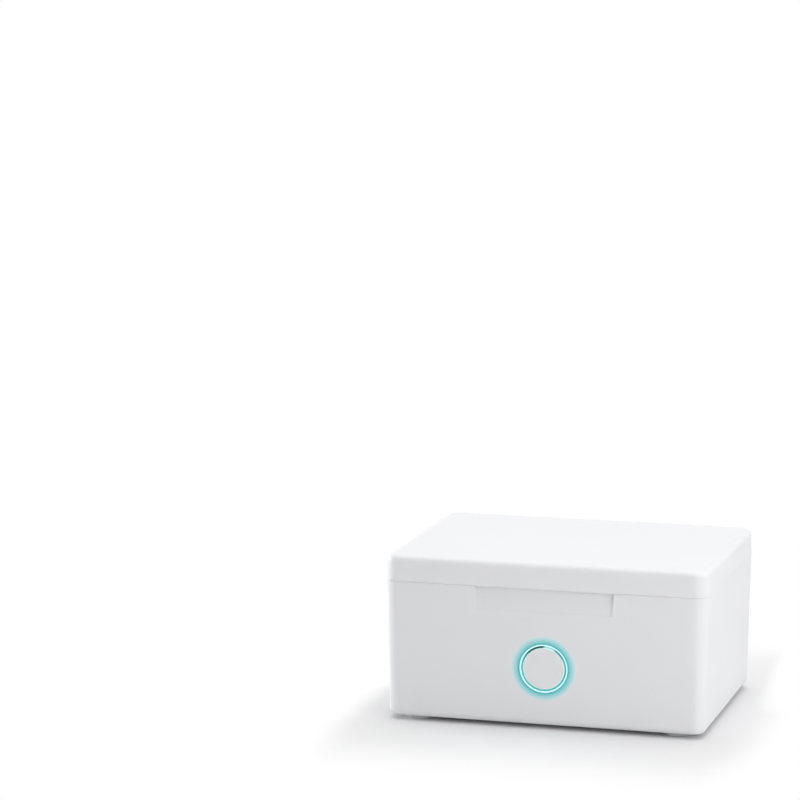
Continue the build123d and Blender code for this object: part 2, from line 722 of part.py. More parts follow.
def base_shell():
    outer = drafted(PARTING_Z, STAND, SHELL_STEP, BASE_DRAFT)
    outer = fillet(rim(outer, -1), BASE_EDGE_R)
    outer = chamfer(rim(outer, 1), PARTING_EDGE)
    above = PARTING_Z + OVERCUT
    hollow = drafted(above, floor_top, base_inset(above) + WALL, BASE_DRAFT)
    hollow = fillet(rim(hollow, -1), BASE_INSIDE_R)
    body = outer - hollow
    body += deck_ribs() & outer
    backing = recess_block(RECESS_WALL, RECESS_WALL) & outer
    body += backing
    body -= recess_block(0, 0)
    for x, y in corners(foot_x, foot_y):
        body += rod(CASE_BOSS_R, floor_top - FLOOR / 2, CASE_BOSS_TOP, x, y) & outer
        body -= rod(CASE_HOLE_R, STAND - OVERCUT, CASE_BOSS_TOP + OVERCUT, x, y)
        body -= rod(CASE_HEAD_R + HEAD_GAP, STAND - OVERCUT, CASE_SEAT_Z, x, y)
        body -= rod(FOOT_R + FOOT_GAP, STAND - OVERCUT, STAND + FOOT_SUNK, x, y)
    for x, y in board_screw_places():
        body += rod(BOARD_POST_R, floor_top - FLOOR / 2, BOARD_LOW, x, y)
        body -= rod(SMALL_SHANK_R, board_top - SMALL_LENGTH, BOARD_LOW + OVERCUT, x, y)
    body -= intake_slots(STAND - OVERCUT, floor_top + OVERCUT)
    body -= back_vents()
    body -= swing_relief()
    for x in (-hinge_x, hinge_x):
        body += hinge_post(x)
        reach = POST_HALF + OVERCUT
        body -= along_x(rod(PIN_R + PIN_CLEARANCE, x - reach, x + reach), hinge_y, hinge_z)
    ring_hole = rod(ring_r + RING_HOLE_GAP, -WALL - OVERCUT, OVERCUT)
    body -= button_plane * ring_hole
    for x in (-board_boss_x, board_boss_x):
        body += button_plane * rod(BOARD_BOSS_R, -BOARD_FRONT, -WALL / 2, x, 0)
        pilot = rod(SMALL_SHANK_R, -BOARD_FRONT - OVERCUT, -BOARD_FRONT - BUTTON_BOARD + SMALL_LENGTH, x, 0)
        body -= button_plane * pilot
    opening_x = USB_WIDE / 2 + USB_OPENING_GAP
    opening_z = USB_HIGH / 2 + USB_OPENING_GAP
    inlet = RectangleRounded(2 * opening_x, 2 * opening_z, opening_z * 0.98)
    body -= Pos(usb_x, half_y + OVERCUT, usb_z) * extrude(Plane.XZ * inlet, amount=3 * WALL)
    sunk = RectangleRounded(USB_RECESS_X, USB_RECESS_Z, USB_RECESS_R)
    depth = half_y + OVERCUT - back_face + USB_RECESS
    body -= Pos(usb_x, half_y + OVERCUT, usb_z) * extrude(Plane.XZ * sunk, amount=depth)
    return body


def foot(x, y):
    body = rod(FOOT_R, 0, STAND + FOOT_SUNK, x, y)
    return fillet(rim(body, -1), FOOT_EDGE_R)


def case_screws():
    one = screw(CASE_SCREW_R, CASE_SCREW_LENGTH, CASE_HEAD_R, CASE_HEAD)
    return solids_of(Pos(x, y, CASE_SEAT_Z) * one for x, y in corners(foot_x, foot_y))


# ---------------------------------------------------------------- chamber
def chamber_tub():
    inset = SHELL_STEP + base_inset(deck_low) - base_inset(PARTING_Z) + WALL + DECK_GAP
    body = plate(half_x - inset, half_y - inset, CORNER_R - inset, deck_low, deck_top)
    notch_x = RECESS_HALF + RECESS_WALL + RECESS_GAP
    notch_y = -half_y + base_inset(PARTING_Z) + RECESS_DEPTH + RECESS_WALL + RECESS_GAP
    low = deck_low - OVERCUT
    high = deck_top + OVERCUT
    body -= slab(-notch_x, notch_x, -half_y, notch_y, low, high)
    for x in (-hinge_x, hinge_x):
        side = POST_HALF + HINGE_SIDE_GAP
        body -= slab(x - side, x + side, hinge_y - POST_R - HINGE_SIDE_GAP, half_y, low, high)
    wall_x = chamber_x + CHAMBER_WALL
    wall_y = chamber_y + CHAMBER_WALL
    wall_r = CHAMBER_CORNER_R + CHAMBER_WALL
    body += plate(wall_x, wall_y, wall_r, CHAMBER_LOW, deck_top, 0, chamber_mid)
    body -= plate(chamber_x, chamber_y, CHAMBER_CORNER_R, GRILLE_SEAT_Z, high, 0, chamber_mid)
    under_x = chamber_x - GRILLE_SEAT
    under_y = chamber_y - GRILLE_SEAT
    under_low = CHAMBER_LOW + CHAMBER_WALL
    under_r = CHAMBER_CORNER_R - GRILLE_SEAT
    body -= plate(under_x, under_y, under_r, under_low, GRILLE_SEAT_Z + OVERCUT, 0, chamber_mid)
    body -= rod(air_hole_r, CHAMBER_LOW - OVERCUT, under_low + OVERCUT, fan_x, fan_y)
    for x, y in corners(fan_hole, fan_hole):
        body += rod(FAN_BOSS_R, CHAMBER_LOW, fan_screw_top + FAN_BOSS_CAP, fan_x + x, fan_y + y)
        body -= rod(FAN_SCREW_R, CHAMBER_LOW - OVERCUT, fan_screw_top, fan_x + x, fan_y + y)
    for x, y in corners(foot_x, foot_y):
        body += rod(CASE_POST_R, CASE_BOSS_TOP, deck_low + DECK / 2, x, y)
        pilot_top = CASE_SEAT_Z + CASE_SCREW_LENGTH
        body -= rod(CASE_SCREW_R, CASE_BOSS_TOP - OVERCUT, pilot_top, x, y)
    slot = SlotOverall(AIR_SLOT_HEIGHT, AIR_SLOT, rotation=90)
    through = extrude(Plane.YZ * slot, amount=half_x, both=True)
    for step in range(-3, 4):
        body -= Pos(0, chamber_mid + step * AIR_SLOT_PITCH, AIR_SLOT_Z) * through
    wall_in = chamber_back - OVERCUT
    wall_out = chamber_back + CHAMBER_WALL
    opening_x = UV_OPENING_X / 2
    opening_z = UV_OPENING_Z / 2
    body -= slab(-opening_x, opening_x, wall_in, wall_out, UV_Z - opening_z, UV_Z + opening_z)
    seat_x = opening_x + UV_WINDOW_LAP + UV_WINDOW_GAP
    seat_z = opening_z + UV_WINDOW_LAP + UV_WINDOW_GAP
    seat_y = wall_out - UV_WINDOW
    body -= slab(-seat_x, seat_x, seat_y, wall_out + OVERCUT, UV_Z - seat_z, UV_Z + seat_z)
    for x in (-UV_BOSS_X, UV_BOSS_X):
        boss = rod(UV_BOSS_R, wall_out - ROOT, uv_board_front)
        pilot = rod(SMALL_SHANK_R, uv_board_front + UV_BOARD - SMALL_LENGTH, uv_board_front + OVERCUT)
        body += Pos(x, 0, UV_Z) * Rot(-90, 0, 0) * boss
        body -= Pos(x, 0, UV_Z) * Rot(-90, 0, 0) * pilot
    for x in (-MAGNET_X, MAGNET_X):
        inner = MAGNET_R + MAGNET_POCKET_GAP
        body += tube(inner + MAGNET_WALL, inner, deck_low - MAGNET, deck_low, x, magnet_y)
    peg_low = deck_low - SENSOR_DROP - SENSOR_BOARD - SENSOR_PEG_END
    for y in sensor_pegs():
        body += rod(SENSOR_PEG_R, peg_low, deck_low, sensor_x, y)
    return body


def floor_grille():
    side_x = chamber_x - GRILLE_GAP
    side_y = chamber_y - GRILLE_GAP
    corner = CHAMBER_CORNER_R - GRILLE_GAP
    body = plate(side_x, side_y, corner, GRILLE_SEAT_Z, GRILLE_SEAT_Z + GRILLE, 0, chamber_mid)
    columns = int((2 * side_x - 2 * SLOT_PITCH_X) // SLOT_PITCH_X) + 1
    rows = int((2 * side_y - SLOT_LENGTH) // SLOT_PITCH_Y) + 1
    outline = SlotOverall(SLOT_LENGTH, SLOT_WIDTH, rotation=90)
    slots = Sketch()
    for column in range(columns):
        for row in range(rows):
            x = (column - (columns - 1) / 2) * SLOT_PITCH_X
            y = (row - (rows - 1) / 2) * SLOT_PITCH_Y
            slots += Pos(x, chamber_mid + y) * outline
    return body - Pos(0, 0, GRILLE_SEAT_Z - OVERCUT) * extrude(slots, amount=GRILLE + 2 * OVERCUT)


def deck_magnets():
    return solids_of(rod(MAGNET_R, deck_low - MAGNET, deck_low, x, magnet_y) for x in (-MAGNET_X, MAGNET_X))


def sensor_pegs():
    """Where the two pegs stand that hold the lid sensor's board, along Y."""
    reach = SENSOR_BOARD_Y / 2 - 2 * SENSOR_PEG_R
    return (SENSOR_Y - reach, SENSOR_Y + reach)


def lid_sensor():
    top = deck_low - SENSOR_DROP
    low = top - SENSOR_BOARD
    body = plate(SENSOR_BOARD_X / 2, SENSOR_BOARD_Y / 2, SENSOR_CORNER_R, low, top, sensor_x, SENSOR_Y)
    for y in sensor_pegs():
        body -= rod(SENSOR_PEG_R, top - 2 * SENSOR_BOARD, top + OVERCUT, sensor_x, y)
    return body + block_at(sensor_x, SENSOR_Y, top, *SENSOR_CHIP)


# ---------------------------------------------------------------- UV-C light
def uv_window():
    side_x = UV_OPENING_X / 2 + UV_WINDOW_LAP
    side_z = UV_OPENING_Z / 2 + UV_WINDOW_LAP
    back = chamber_back + CHAMBER_WALL
    body = slab(-side_x, side_x, back - UV_WINDOW, back, UV_Z - side_z, UV_Z + side_z)
    return fillet(body.edges().filter_by(Axis.Y), UV_WINDOW_R)


def uv_board():
    side_x = UV_BOARD_X / 2
    side_z = UV_BOARD_Z / 2
    front = uv_board_front
    body = slab(-side_x, side_x, front, front + UV_BOARD, UV_Z - side_z, UV_Z + side_z)
    for x in (-UV_BOSS_X, UV_BOSS_X):
        hole = rod(SMALL_HOLE_R, front - OVERCUT, front + 2 * UV_BOARD)
        body -= Pos(x, 0, UV_Z) * Rot(-90, 0, 0) * hole
    return body


def uv_leds():
    low = uv_board_front - UV_LED_HEIGHT
    dies = []
    for step in (-1, 0, 1):
        x = step * UV_LED_PITCH
        body = slab(x - UV_LED / 2, x + UV_LED / 2, low, uv_board_front, UV_Z - UV_LED / 2, UV_Z + UV_LED / 2)
        lens = Pos(x, 0, UV_Z) * Rot(-90, 0, 0) * rod(UV_LENS_R, low - UV_LENS, low)
        dies.append(body + lens)
    return solids_of(dies)


# ---------------------------------------------------------------- warm air
def air_duct():
    side = FAN / 2 + DUCT_WIDER
    body = plate(side, side, DUCT_CORNER_R, duct_low, CHAMBER_LOW, fan_x, fan_y)
    inside = side - DUCT_WALL
    void = plate(inside, inside, DUCT_INSIDE_R, duct_low - OVERCUT, CHAMBER_LOW + OVERCUT, fan_x, fan_y)
    for x, y in corners(fan_hole, fan_hole):
        void -= rod(DUCT_BOSS_R, duct_low - 2 * OVERCUT, CHAMBER_LOW + 2 * OVERCUT, fan_x + x, fan_y + y)
    body -= void
    for x, y in corners(fan_hole, fan_hole):
        body -= rod(FAN_SCREW_HOLE_R, duct_low - OVERCUT, CHAMBER_LOW + OVERCUT, fan_x + x, fan_y + y)
    return body


def heater_reach():
    """Half the heater's length: as long as the duct is wide inside, less a gap."""
    return FAN / 2 + DUCT_WIDER - DUCT_WALL - HEATER_GAP


def heater_core():
    low = duct_low + HEATER_LIFT
    reach = heater_reach()
    half = HEATER_CORE / 2
    return slab(fan_x - reach, fan_x + reach, fan_y - half, fan_y + half, low, low + HEATER_HEIGHT)


def heater_fins():
    low = duct_low + HEATER_LIFT
    high = low + HEATER_HEIGHT
    reach = fan_hole - DUCT_BOSS_R - HEATER_GAP
    count = int((2 * reach - FIN) // FIN_PITCH) + 1
    blocks = []
    for side in (-1, 1):
        near = HEATER_CORE / 2
        far = near + FIN_BLOCK
        block = None
        for a, b in ((near, near + FIN_PLATE), (far - FIN_PLATE, far)):
            y_low, y_high = sorted((fan_y + side * a, fan_y + side * b))
            sheet = slab(fan_x - reach, fan_x + reach, y_low, y_high, low, high)
            block = sheet if block is None else block + sheet
        y_low, y_high = sorted((fan_y + side * (near + FIN_PLATE / 2), fan_y + side * (far - FIN_PLATE / 2)))
        for step in range(count):
            x = fan_x + (step - (count - 1) / 2) * FIN_PITCH
            block += slab(x - FIN / 2, x + FIN / 2, y_low, y_high, low, high)
        blocks.append(block)
    return solids_of(blocks)


def thermal_cutoff():
    """A small can clipped to the duct's left side."""
    duct_side = fan_x - FAN / 2 - DUCT_WIDER
    middle_y = fan_y - CUTOFF_FORWARD
    middle_z = duct_low + CUTOFF_UP
    can = Pos(duct_side - CUTOFF_R, middle_y, middle_z) * Rot(90, 0, 0) * Cylinder(CUTOFF_R, CUTOFF_LONG)
    half = CUTOFF_CLIP / 2
    clip = slab(
        duct_side - CUTOFF_SHEET,
        duct_side,
        middle_y - half,
        middle_y + half,
        middle_z - CUTOFF_CLIP_HALF,
        middle_z + CUTOFF_CLIP_HALF,
    )
    return can + clip


def fan_frame():
    low = FAN_LOW
    high = FAN_LOW + FAN_HEIGHT
    body = plate(FAN / 2, FAN / 2, FAN_CORNER_R, low, high, fan_x, fan_y)
    body -= rod(fan_bore_r, low - OVERCUT, high + OVERCUT, fan_x, fan_y)
    around = FAN / 2 + OVERCUT
    waist = plate(around, around, FAN_CORNER_R, low + FAN_RIM, high - FAN_RIM, fan_x, fan_y)
    waist -= rod(fan_bore_r + FAN_WALL, low, high, fan_x, fan_y)
    for x, y in corners(fan_hole, fan_hole):
        waist -= rod(FAN_PILLAR_R, low, high, fan_x + x, fan_y + y)
    body -= waist
    for x, y in corners(fan_hole, fan_hole):
        body -= rod(FAN_SCREW_HOLE_R, low - OVERCUT, high + OVERCUT, fan_x + x, fan_y + y)
    body += rod(fan_base_r, low, low + FAN_BASE, fan_x, fan_y)
    for turn in range(4):
        near = fan_base_r - ROOT
        far = fan_bore_r + ROOT
        arm = slab(near, far, -STRUT_WIDTH / 2, STRUT_WIDTH / 2, low, low + STRUT_HEIGHT)
        body += Pos(fan_x, fan_y, 0) * Rot(0, 0, 45 + 90 * turn) * arm
    bearing_low = low + FAN_BASE
    body += tube(BEARING_R, SHAFT_R + SHAFT_CLEARANCE, bearing_low, low + BEARING_TOP, fan_x, fan_y)
    return body


def fan_stator():
    low = FAN_LOW + STATOR_LOW
    high = FAN_LOW + STATOR_TOP
    core = rod(BEARING_R + STATOR_CORE, low, high)
    half = STATOR_ARM / 2
    shoe_half = STATOR_SHOE_WIDE / 2
    for turn in range(4):
        arm = slab(0, STATOR_R - ROOT, -half, half, low + STATOR_ARM_IN, high - STATOR_ARM_IN)
        shoe = slab(STATOR_R - STATOR_SHOE, STATOR_R, -shoe_half, shoe_half, low, high)
        core += Rot(0, 0, 90 * turn) * (arm + (shoe & rod(STATOR_R, low, high)))
    return Pos(fan_x, fan_y, 0) * (core - rod(BEARING_R, low - OVERCUT, high + OVERCUT))


def fan_rotor():
    low = FAN_LOW + HUB_LOW
    high = FAN_LOW + HUB_TOP
    cup = rod(HUB_R, low, high) - rod(HUB_R - HUB_WALL, low - OVERCUT, high - HUB_WALL)
    cup += rod(SHAFT_R, FAN_LOW + FAN_BASE + SHAFT_END_GAP, high - HUB_WALL / 2)
    ring = tube(blade_r, HUB_R - HUB_WALL / 2, low + BLADE_INSET, high - BLADE_INSET)
    for step in range(BLADE_COUNT):
        span = blade_r + OVERCUT - (HUB_R - HUB_WALL)
        chord = (high - low) / sin(radians(BLADE_LEAN)) + 2 * OVERCUT
        sheet = Rot(90 - BLADE_LEAN, 0, 0) * Box(span, BLADE_THICK, chord)
        blade = Pos(HUB_R - HUB_WALL + span / 2, 0, (low + high) / 2) * sheet
        cup += (Rot(0, 0, 360 * step / BLADE_COUNT) * blade) & ring
    return Pos(fan_x, fan_y, 0) * cup


def fan_magnet():
    outer = HUB_R - HUB_WALL
    low = FAN_LOW + HUB_LOW + MAGNET_RING_IN
    high = FAN_LOW + STATOR_TOP + MAGNET_RING_GAP
    return tube(outer, STATOR_R + MAGNET_RING_GAP, low, high, fan_x, fan_y)


def fan_screws():
    one = screw(FAN_SCREW_R, fan_screw_top - FAN_LOW - FAN_SCREW_TIP_GAP, FAN_HEAD_R, FAN_HEAD)
    return solids_of(Pos(fan_x + x, fan_y + y, FAN_LOW) * one for x, y in corners(fan_hole, fan_hole))


# ---------------------------------------------------------------- button
def light_ring():
    flange_back = WALL + RING_FLANGE
    profile = [
        (ring_face_in_r, 0),
        (ring_r, 0),
        (ring_r, -WALL),
        (ring_flange_r, -WALL),
        (ring_flange_r, -flange_back),
        (ring_skirt_r, -flange_back),
        (ring_skirt_r, -ring_back),
        (ring_pocket_r, -ring_back),
        (ring_pocket_r, -flange_back),
        (ring_bore_r, -flange_back),
        (ring_bore_r, -GROOVE),
        (ring_face_in_r, -GROOVE),
    ]
    return button_plane * turned(profile)


def button_cap():
    flange_front = -(WALL + RING_FLANGE + BUTTON_REST_GAP)
    flange_back = flange_front - BUTTON_FLANGE
    flange_r = ring_pocket_r - BUTTON_FLANGE_GAP
    skirt_in_r = BUTTON_R - BUTTON_SKIRT
    profile = [
        (0, 0),
        (BUTTON_R - BUTTON_EDGE, 0),
        (BUTTON_R, -BUTTON_EDGE),
        (BUTTON_R, flange_front),
        (flange_r, flange_front),
        (flange_r, flange_back),
        (skirt_in_r, flange_back),
        (skirt_in_r, -BUTTON_FACE),
        (BUTTON_STEM_R, -BUTTON_FACE),
        (BUTTON_STEM_R, -stem_back),
        (0, -stem_back),
    ]
    return button_plane * turned(profile)


def switch_body():
    half = SWITCH_SIDE / 2
    top = -BOARD_FRONT + SWITCH_HEIGHT
    body = slab(-half, half, -half, half, -BOARD_FRONT, top)
    body = chamfer(body.edges().filter_by(Axis.Z), SWITCH_CORNER)
    bottom = -BOARD_FRONT + PLUNGER_IN - PLUNGER_END_GAP
    well = rod(PLUNGER_R + PLUNGER_GAP, bottom, top + OVERCUT)
    return button_plane * (body - well)


def switch_plunger():
    body = rod(PLUNGER_R, -BOARD_FRONT + PLUNGER_IN, -stem_back - STEM_GAP)
    return button_plane * chamfer(rim(body, 1), PLUNGER_EDGE)


def button_board():
    back = -BOARD_FRONT - BUTTON_BOARD
    half_wide = board_boss_x + BUTTON_BOARD_EDGE
    half_high = led_ring_r + LED[0] / 2
    body = plate(half_wide, half_high, BUTTON_BOARD_R, back, -BOARD_FRONT)
    for x in (-board_boss_x, board_boss_x):
        body -= rod(SMALL_HOLE_R, -BOARD_FRONT - 2 * BUTTON_BOARD, -BOARD_FRONT + OVERCUT, x, 0)
    return button_plane * body


def ring_leds():
    one = block_at(led_ring_r, 0, -BOARD_FRONT, *LED)
    turns = [360 * (step + 0.5) / LED_COUNT for step in range(LED_COUNT)]
    return solids_of(button_plane * (Rot(0, 0, turn) * one) for turn in turns)


# ---------------------------------------------------------------- main board
def main_board():
    side_x = BOARD_WIDE / 2
    side_y = (board_back - board_front) / 2
    middle_y = (board_back + board_front) / 2
    body = plate(side_x, side_y, BOARD_CORNER_R, BOARD_LOW, board_top, usb_x, middle_y)
    for x, y in board_screw_places():
        body -= rod(SMALL_HOLE_R, BOARD_LOW - OVERCUT, board_top + OVERCUT, x, y)
    return body


def board_screws():
    """The same small screw eight times: four in the main board, two each in the other boards."""
    one = screw(SMALL_SHANK_R, SMALL_LENGTH, SMALL_HEAD_R, SMALL_HEAD)
    down = [Pos(x, y, board_top) * Rot(180, 0, 0) * one for x, y in board_screw_places()]
    seat = -BOARD_FRONT - BUTTON_BOARD
    forward = [button_plane * (Pos(x, 0, seat) * one) for x in (-board_boss_x, board_boss_x)]
    back = uv_board_front + UV_BOARD
    inward = [Pos(x, back, UV_Z) * Rot(90, 0, 0) * one for x in (-UV_BOSS_X, UV_BOSS_X)]
    return solids_of(down + forward + inward)


def board_parts():
    """Chips, a coil and three upright capacitors on the main board."""
    parts = []
    for x, y, *size in CHIPS:
        parts.append(block_at(usb_x + x, chamber_mid + y, board_top, *size))
    for x in CAPACITOR_X:
        can = rod(CAPACITOR_R, board_top, board_top + CAPACITOR_HIGH, usb_x + x, chamber_mid + CAPACITOR_Y)
        parts.append(fillet(rim(can, 1), CAPACITOR_EDGE))
    return solids_of(parts)


def plug_places():
    """The plugs on the main board: the middle of each one in X and Y."""
    left = board_left + PLUG_IN
    right = board_right - PLUG_IN
    return {
        "sensor_lead": (left, board_front + 13),
        "button_lead": (usb_x + 3, board_front + PLUG_IN),
        "fan_lead": (right, board_front + 14),
        "heater_lead": (right, board_front + 27),
        "uv_lead": (left, board_back - 15),
    }


def board_plugs():
    side = 2 * PLUG_HALF
    return solids_of(block_at(x, y, board_top, side, side, PLUG_HIGH) for x, y in plug_places().values())


def usb_inlet():
    mouth = back_face - USB_RECESS - USB_SETBACK
    shell = RectangleRounded(USB_WIDE, USB_HIGH, USB_HIGH * 0.45)
    inside = RectangleRounded(USB_WIDE - 2 * USB_SHEET, USB_HIGH - 2 * USB_SHEET, USB_HIGH * 0.35)
    tongue = Rectangle(USB_TONGUE_WIDE, USB_TONGUE)
    body = extrude(Plane.XZ * shell, amount=USB_LONG)
    body -= Pos(0, OVERCUT, 0) * extrude(Plane.XZ * inside, amount=USB_LONG - USB_BACK + OVERCUT)
    body += Pos(0, -USB_TONGUE_IN, 0) * extrude(Plane.XZ * tongue, amount=USB_LONG - USB_BACK)
    return Pos(usb_x, mouth, usb_z) * body


# ---------------------------------------------------------------- leads inside the case
def lead_routes():
    top = board_top + PLUG_HIGH
    plugs = plug_places()
    run = top + LEAD_RUN
    routes = {}
    x, y = plugs["sensor_lead"]
    board_z = deck_low - SENSOR_DROP - SENSOR_BOARD
    turn_y = SENSOR_Y + SENSOR_LEAD_Y
    routes["sensor_lead"] = [(x, y, top), (x, y, run), (sensor_x, turn_y, run), (sensor_x, turn_y, board_z)]
    x, y = plugs["button_lead"]
    end = -board_boss_x - BUTTON_BOARD_EDGE + BUTTON_LEAD_IN
    back = button_plane.from_local_coords(Vector(end, -BUTTON_LEAD_DOWN, -BOARD_FRONT - BUTTON_BOARD))
    turn_y = y - BUTTON_LEAD_TURN
    routes["button_lead"] = [(x, y, top), (x, y, back.Z), (end, turn_y, back.Z), (end, back.Y, back.Z)]
    x, y = plugs["fan_lead"]
    side = fan_x - FAN / 2
    routes["fan_lead"] = [(x, y, top), (x, y, top + LEAD_RISE), (side, y, top + LEAD_RISE)]
    x, y = plugs["heater_lead"]
    side = fan_x - FAN / 2 - DUCT_WIDER
    enter = duct_low + HEATER_LEAD_UP
    routes["heater_lead"] = [(x, y, top), (x, y, enter), (side, y, enter)]
    x, y = plugs["uv_lead"]
    back = uv_board_front + UV_BOARD
    lane = back + UV_LEAD_BEHIND
    end = -UV_BOARD_X / 2 + UV_LEAD_IN
    level = UV_Z - UV_LEAD_DOWN
    routes["uv_lead"] = [
        (x, y, top),
        (x, y, run),
        (x, lane, run),
        (x, lane, level),
        (end, lane, level),
        (end, back, level),
    ]
    return routes


# ---------------------------------------------------------------- all nodes
nodes = {
    "lid_shell": lid_shell(),
    "lid_liner": lid_liner(),
    "lid_reflector": lid_reflector(),
    "lid_seal": lid_seal(),
    "lid_magnets": lid_magnets(),
    "sensor_magnet": sensor_magnet(),
    "liner_screws": liner_screws(),
    "hinge_pins": hinge_pins(),
    "base_shell": base_shell(),
    "case_screws": case_screws(),
    "chamber_tub": chamber_tub(),
    "floor_grille": floor_grille(),
    "deck_magnets": deck_magnets(),
    "lid_sensor": lid_sensor(),
    "uv_window": uv_window(),
    "uv_board": uv_board(),
    "uv_leds": uv_leds(),
    "air_duct": air_duct(),
    "heater_core": heater_core(),
    "heater_fins": heater_fins(),
    "thermal_cutoff": thermal_cutoff(),
    "fan_frame": fan_frame(),
    "fan_stator": fan_stator(),
    "fan_rotor": fan_rotor(),
    "fan_magnet": fan_magnet(),
    "fan_screws": fan_screws(),
    "light_ring": light_ring(),
    "button_cap": button_cap(),
    "switch_body": switch_body(),
    "switch_plunger": switch_plunger(),
    "button_board": button_board(),
    "ring_leds": ring_leds(),
    "main_board": main_board(),
    "board_parts": board_parts(),
    "board_plugs": board_plugs(),
    "board_screws": board_screws(),
    "usb_inlet": usb_inlet(),
}
for side_x, side in ((-1, "left"), (1, "right")):
    for side_y, end in ((-1, "front"), (1, "back")):
        nodes[f"foot_{end}_{side}"] = foot(side_x * foot_x, side_y * foot_y)
for name, points in lead_routes().items():
    nodes[name] = lead(LEAD_R, LEAD_BEND, points)

os.makedirs("parts", exist_ok=True)
for name, shape in nodes.items():
    export_step(shape, f"parts/{name}.step")
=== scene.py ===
import json
import math

import bmesh
import bpy
from mathutils import Matrix, Vector


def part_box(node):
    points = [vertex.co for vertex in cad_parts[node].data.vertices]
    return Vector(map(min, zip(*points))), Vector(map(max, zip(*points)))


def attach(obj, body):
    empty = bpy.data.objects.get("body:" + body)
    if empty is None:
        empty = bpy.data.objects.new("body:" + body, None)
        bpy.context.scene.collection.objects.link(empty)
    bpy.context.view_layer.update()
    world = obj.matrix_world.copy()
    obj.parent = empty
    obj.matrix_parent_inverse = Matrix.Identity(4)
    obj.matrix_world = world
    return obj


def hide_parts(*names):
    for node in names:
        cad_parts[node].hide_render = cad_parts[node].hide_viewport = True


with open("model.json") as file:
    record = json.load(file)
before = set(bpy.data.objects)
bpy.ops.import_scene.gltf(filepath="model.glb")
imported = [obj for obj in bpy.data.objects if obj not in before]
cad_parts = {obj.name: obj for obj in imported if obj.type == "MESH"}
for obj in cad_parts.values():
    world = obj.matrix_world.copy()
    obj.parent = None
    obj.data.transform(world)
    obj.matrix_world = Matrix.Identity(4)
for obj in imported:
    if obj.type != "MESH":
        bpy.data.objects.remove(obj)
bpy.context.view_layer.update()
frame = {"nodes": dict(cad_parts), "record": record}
MM = 0.001
nodes = frame["nodes"]
bodies = frame["record"]["behaviour"]["bodies"]
body_of = {node: body for body, members in bodies.items() for node in members}
slot_of = {row["node"]: row["material_slot"] for row in frame["record"]["subparts"]}

# ---------------------------------------------------------------- places, in millimetres
BUTTON_PLACE = (0.0, -43.228, 21.85)
BUTTON_TILT = math.radians(1.07)
FAN_PLACE = (22.0, 1.5)
BOARD_MID_X = -23.0
INLET_Z = 9.23
INLET_BACK = 41.9
CAPACITORS = ((-32.0, 16.5), (-23.0, 16.5), (-14.0, 16.5))
CAPACITOR_TOP = 15.6


# ---------------------------------------------------------------- shader maths
class Value:
    """A socket whose number takes part in arithmetic; each sign adds a Math node."""

    def __init__(self, finish, socket):
        self.finish = finish
        self.socket = socket

    def _math(self, operation, first, second=0.0, third=0.0):
        made = self.finish.node(
            "ShaderNodeMath", {"operation": operation}, {0: first, 1: second, 2: third}
        )
        return Value(self.finish, made.outputs[0])

    def __add__(self, other):
        return self._math("ADD", self, other)

    def __radd__(self, other):
        return self._math("ADD", other, self)

    def __sub__(self, other):
        return self._math("SUBTRACT", self, other)

    def __rsub__(self, other):
        return self._math("SUBTRACT", other, self)

    def __mul__(self, other):
        return self._math("MULTIPLY", self, other)

    def __rmul__(self, other):
        return self._math("MULTIPLY", other, self)

    def __truediv__(self, other):
        return self._math("DIVIDE", self, other)

    def __pow__(self, other):
        return self._math("POWER", self, other)

    def apply(self, operation, second=0.0, third=0.0):
        return self._math(operation, self, second, third)

    def rise(self, low, high, smooth=True):
        """0 below low, 1 above high, and a slope between; low may be the larger."""
        kind = "SMOOTHSTEP" if smooth else "LINEAR"
        made = self.finish.node(
            "ShaderNodeMapRange",
            {"interpolation_type": kind},
            {"Value": self, "From Min": low, "From Max": high, "To Min": 0.0, "To Max": 1.0},
        )
        return Value(self.finish, made.outputs[0])


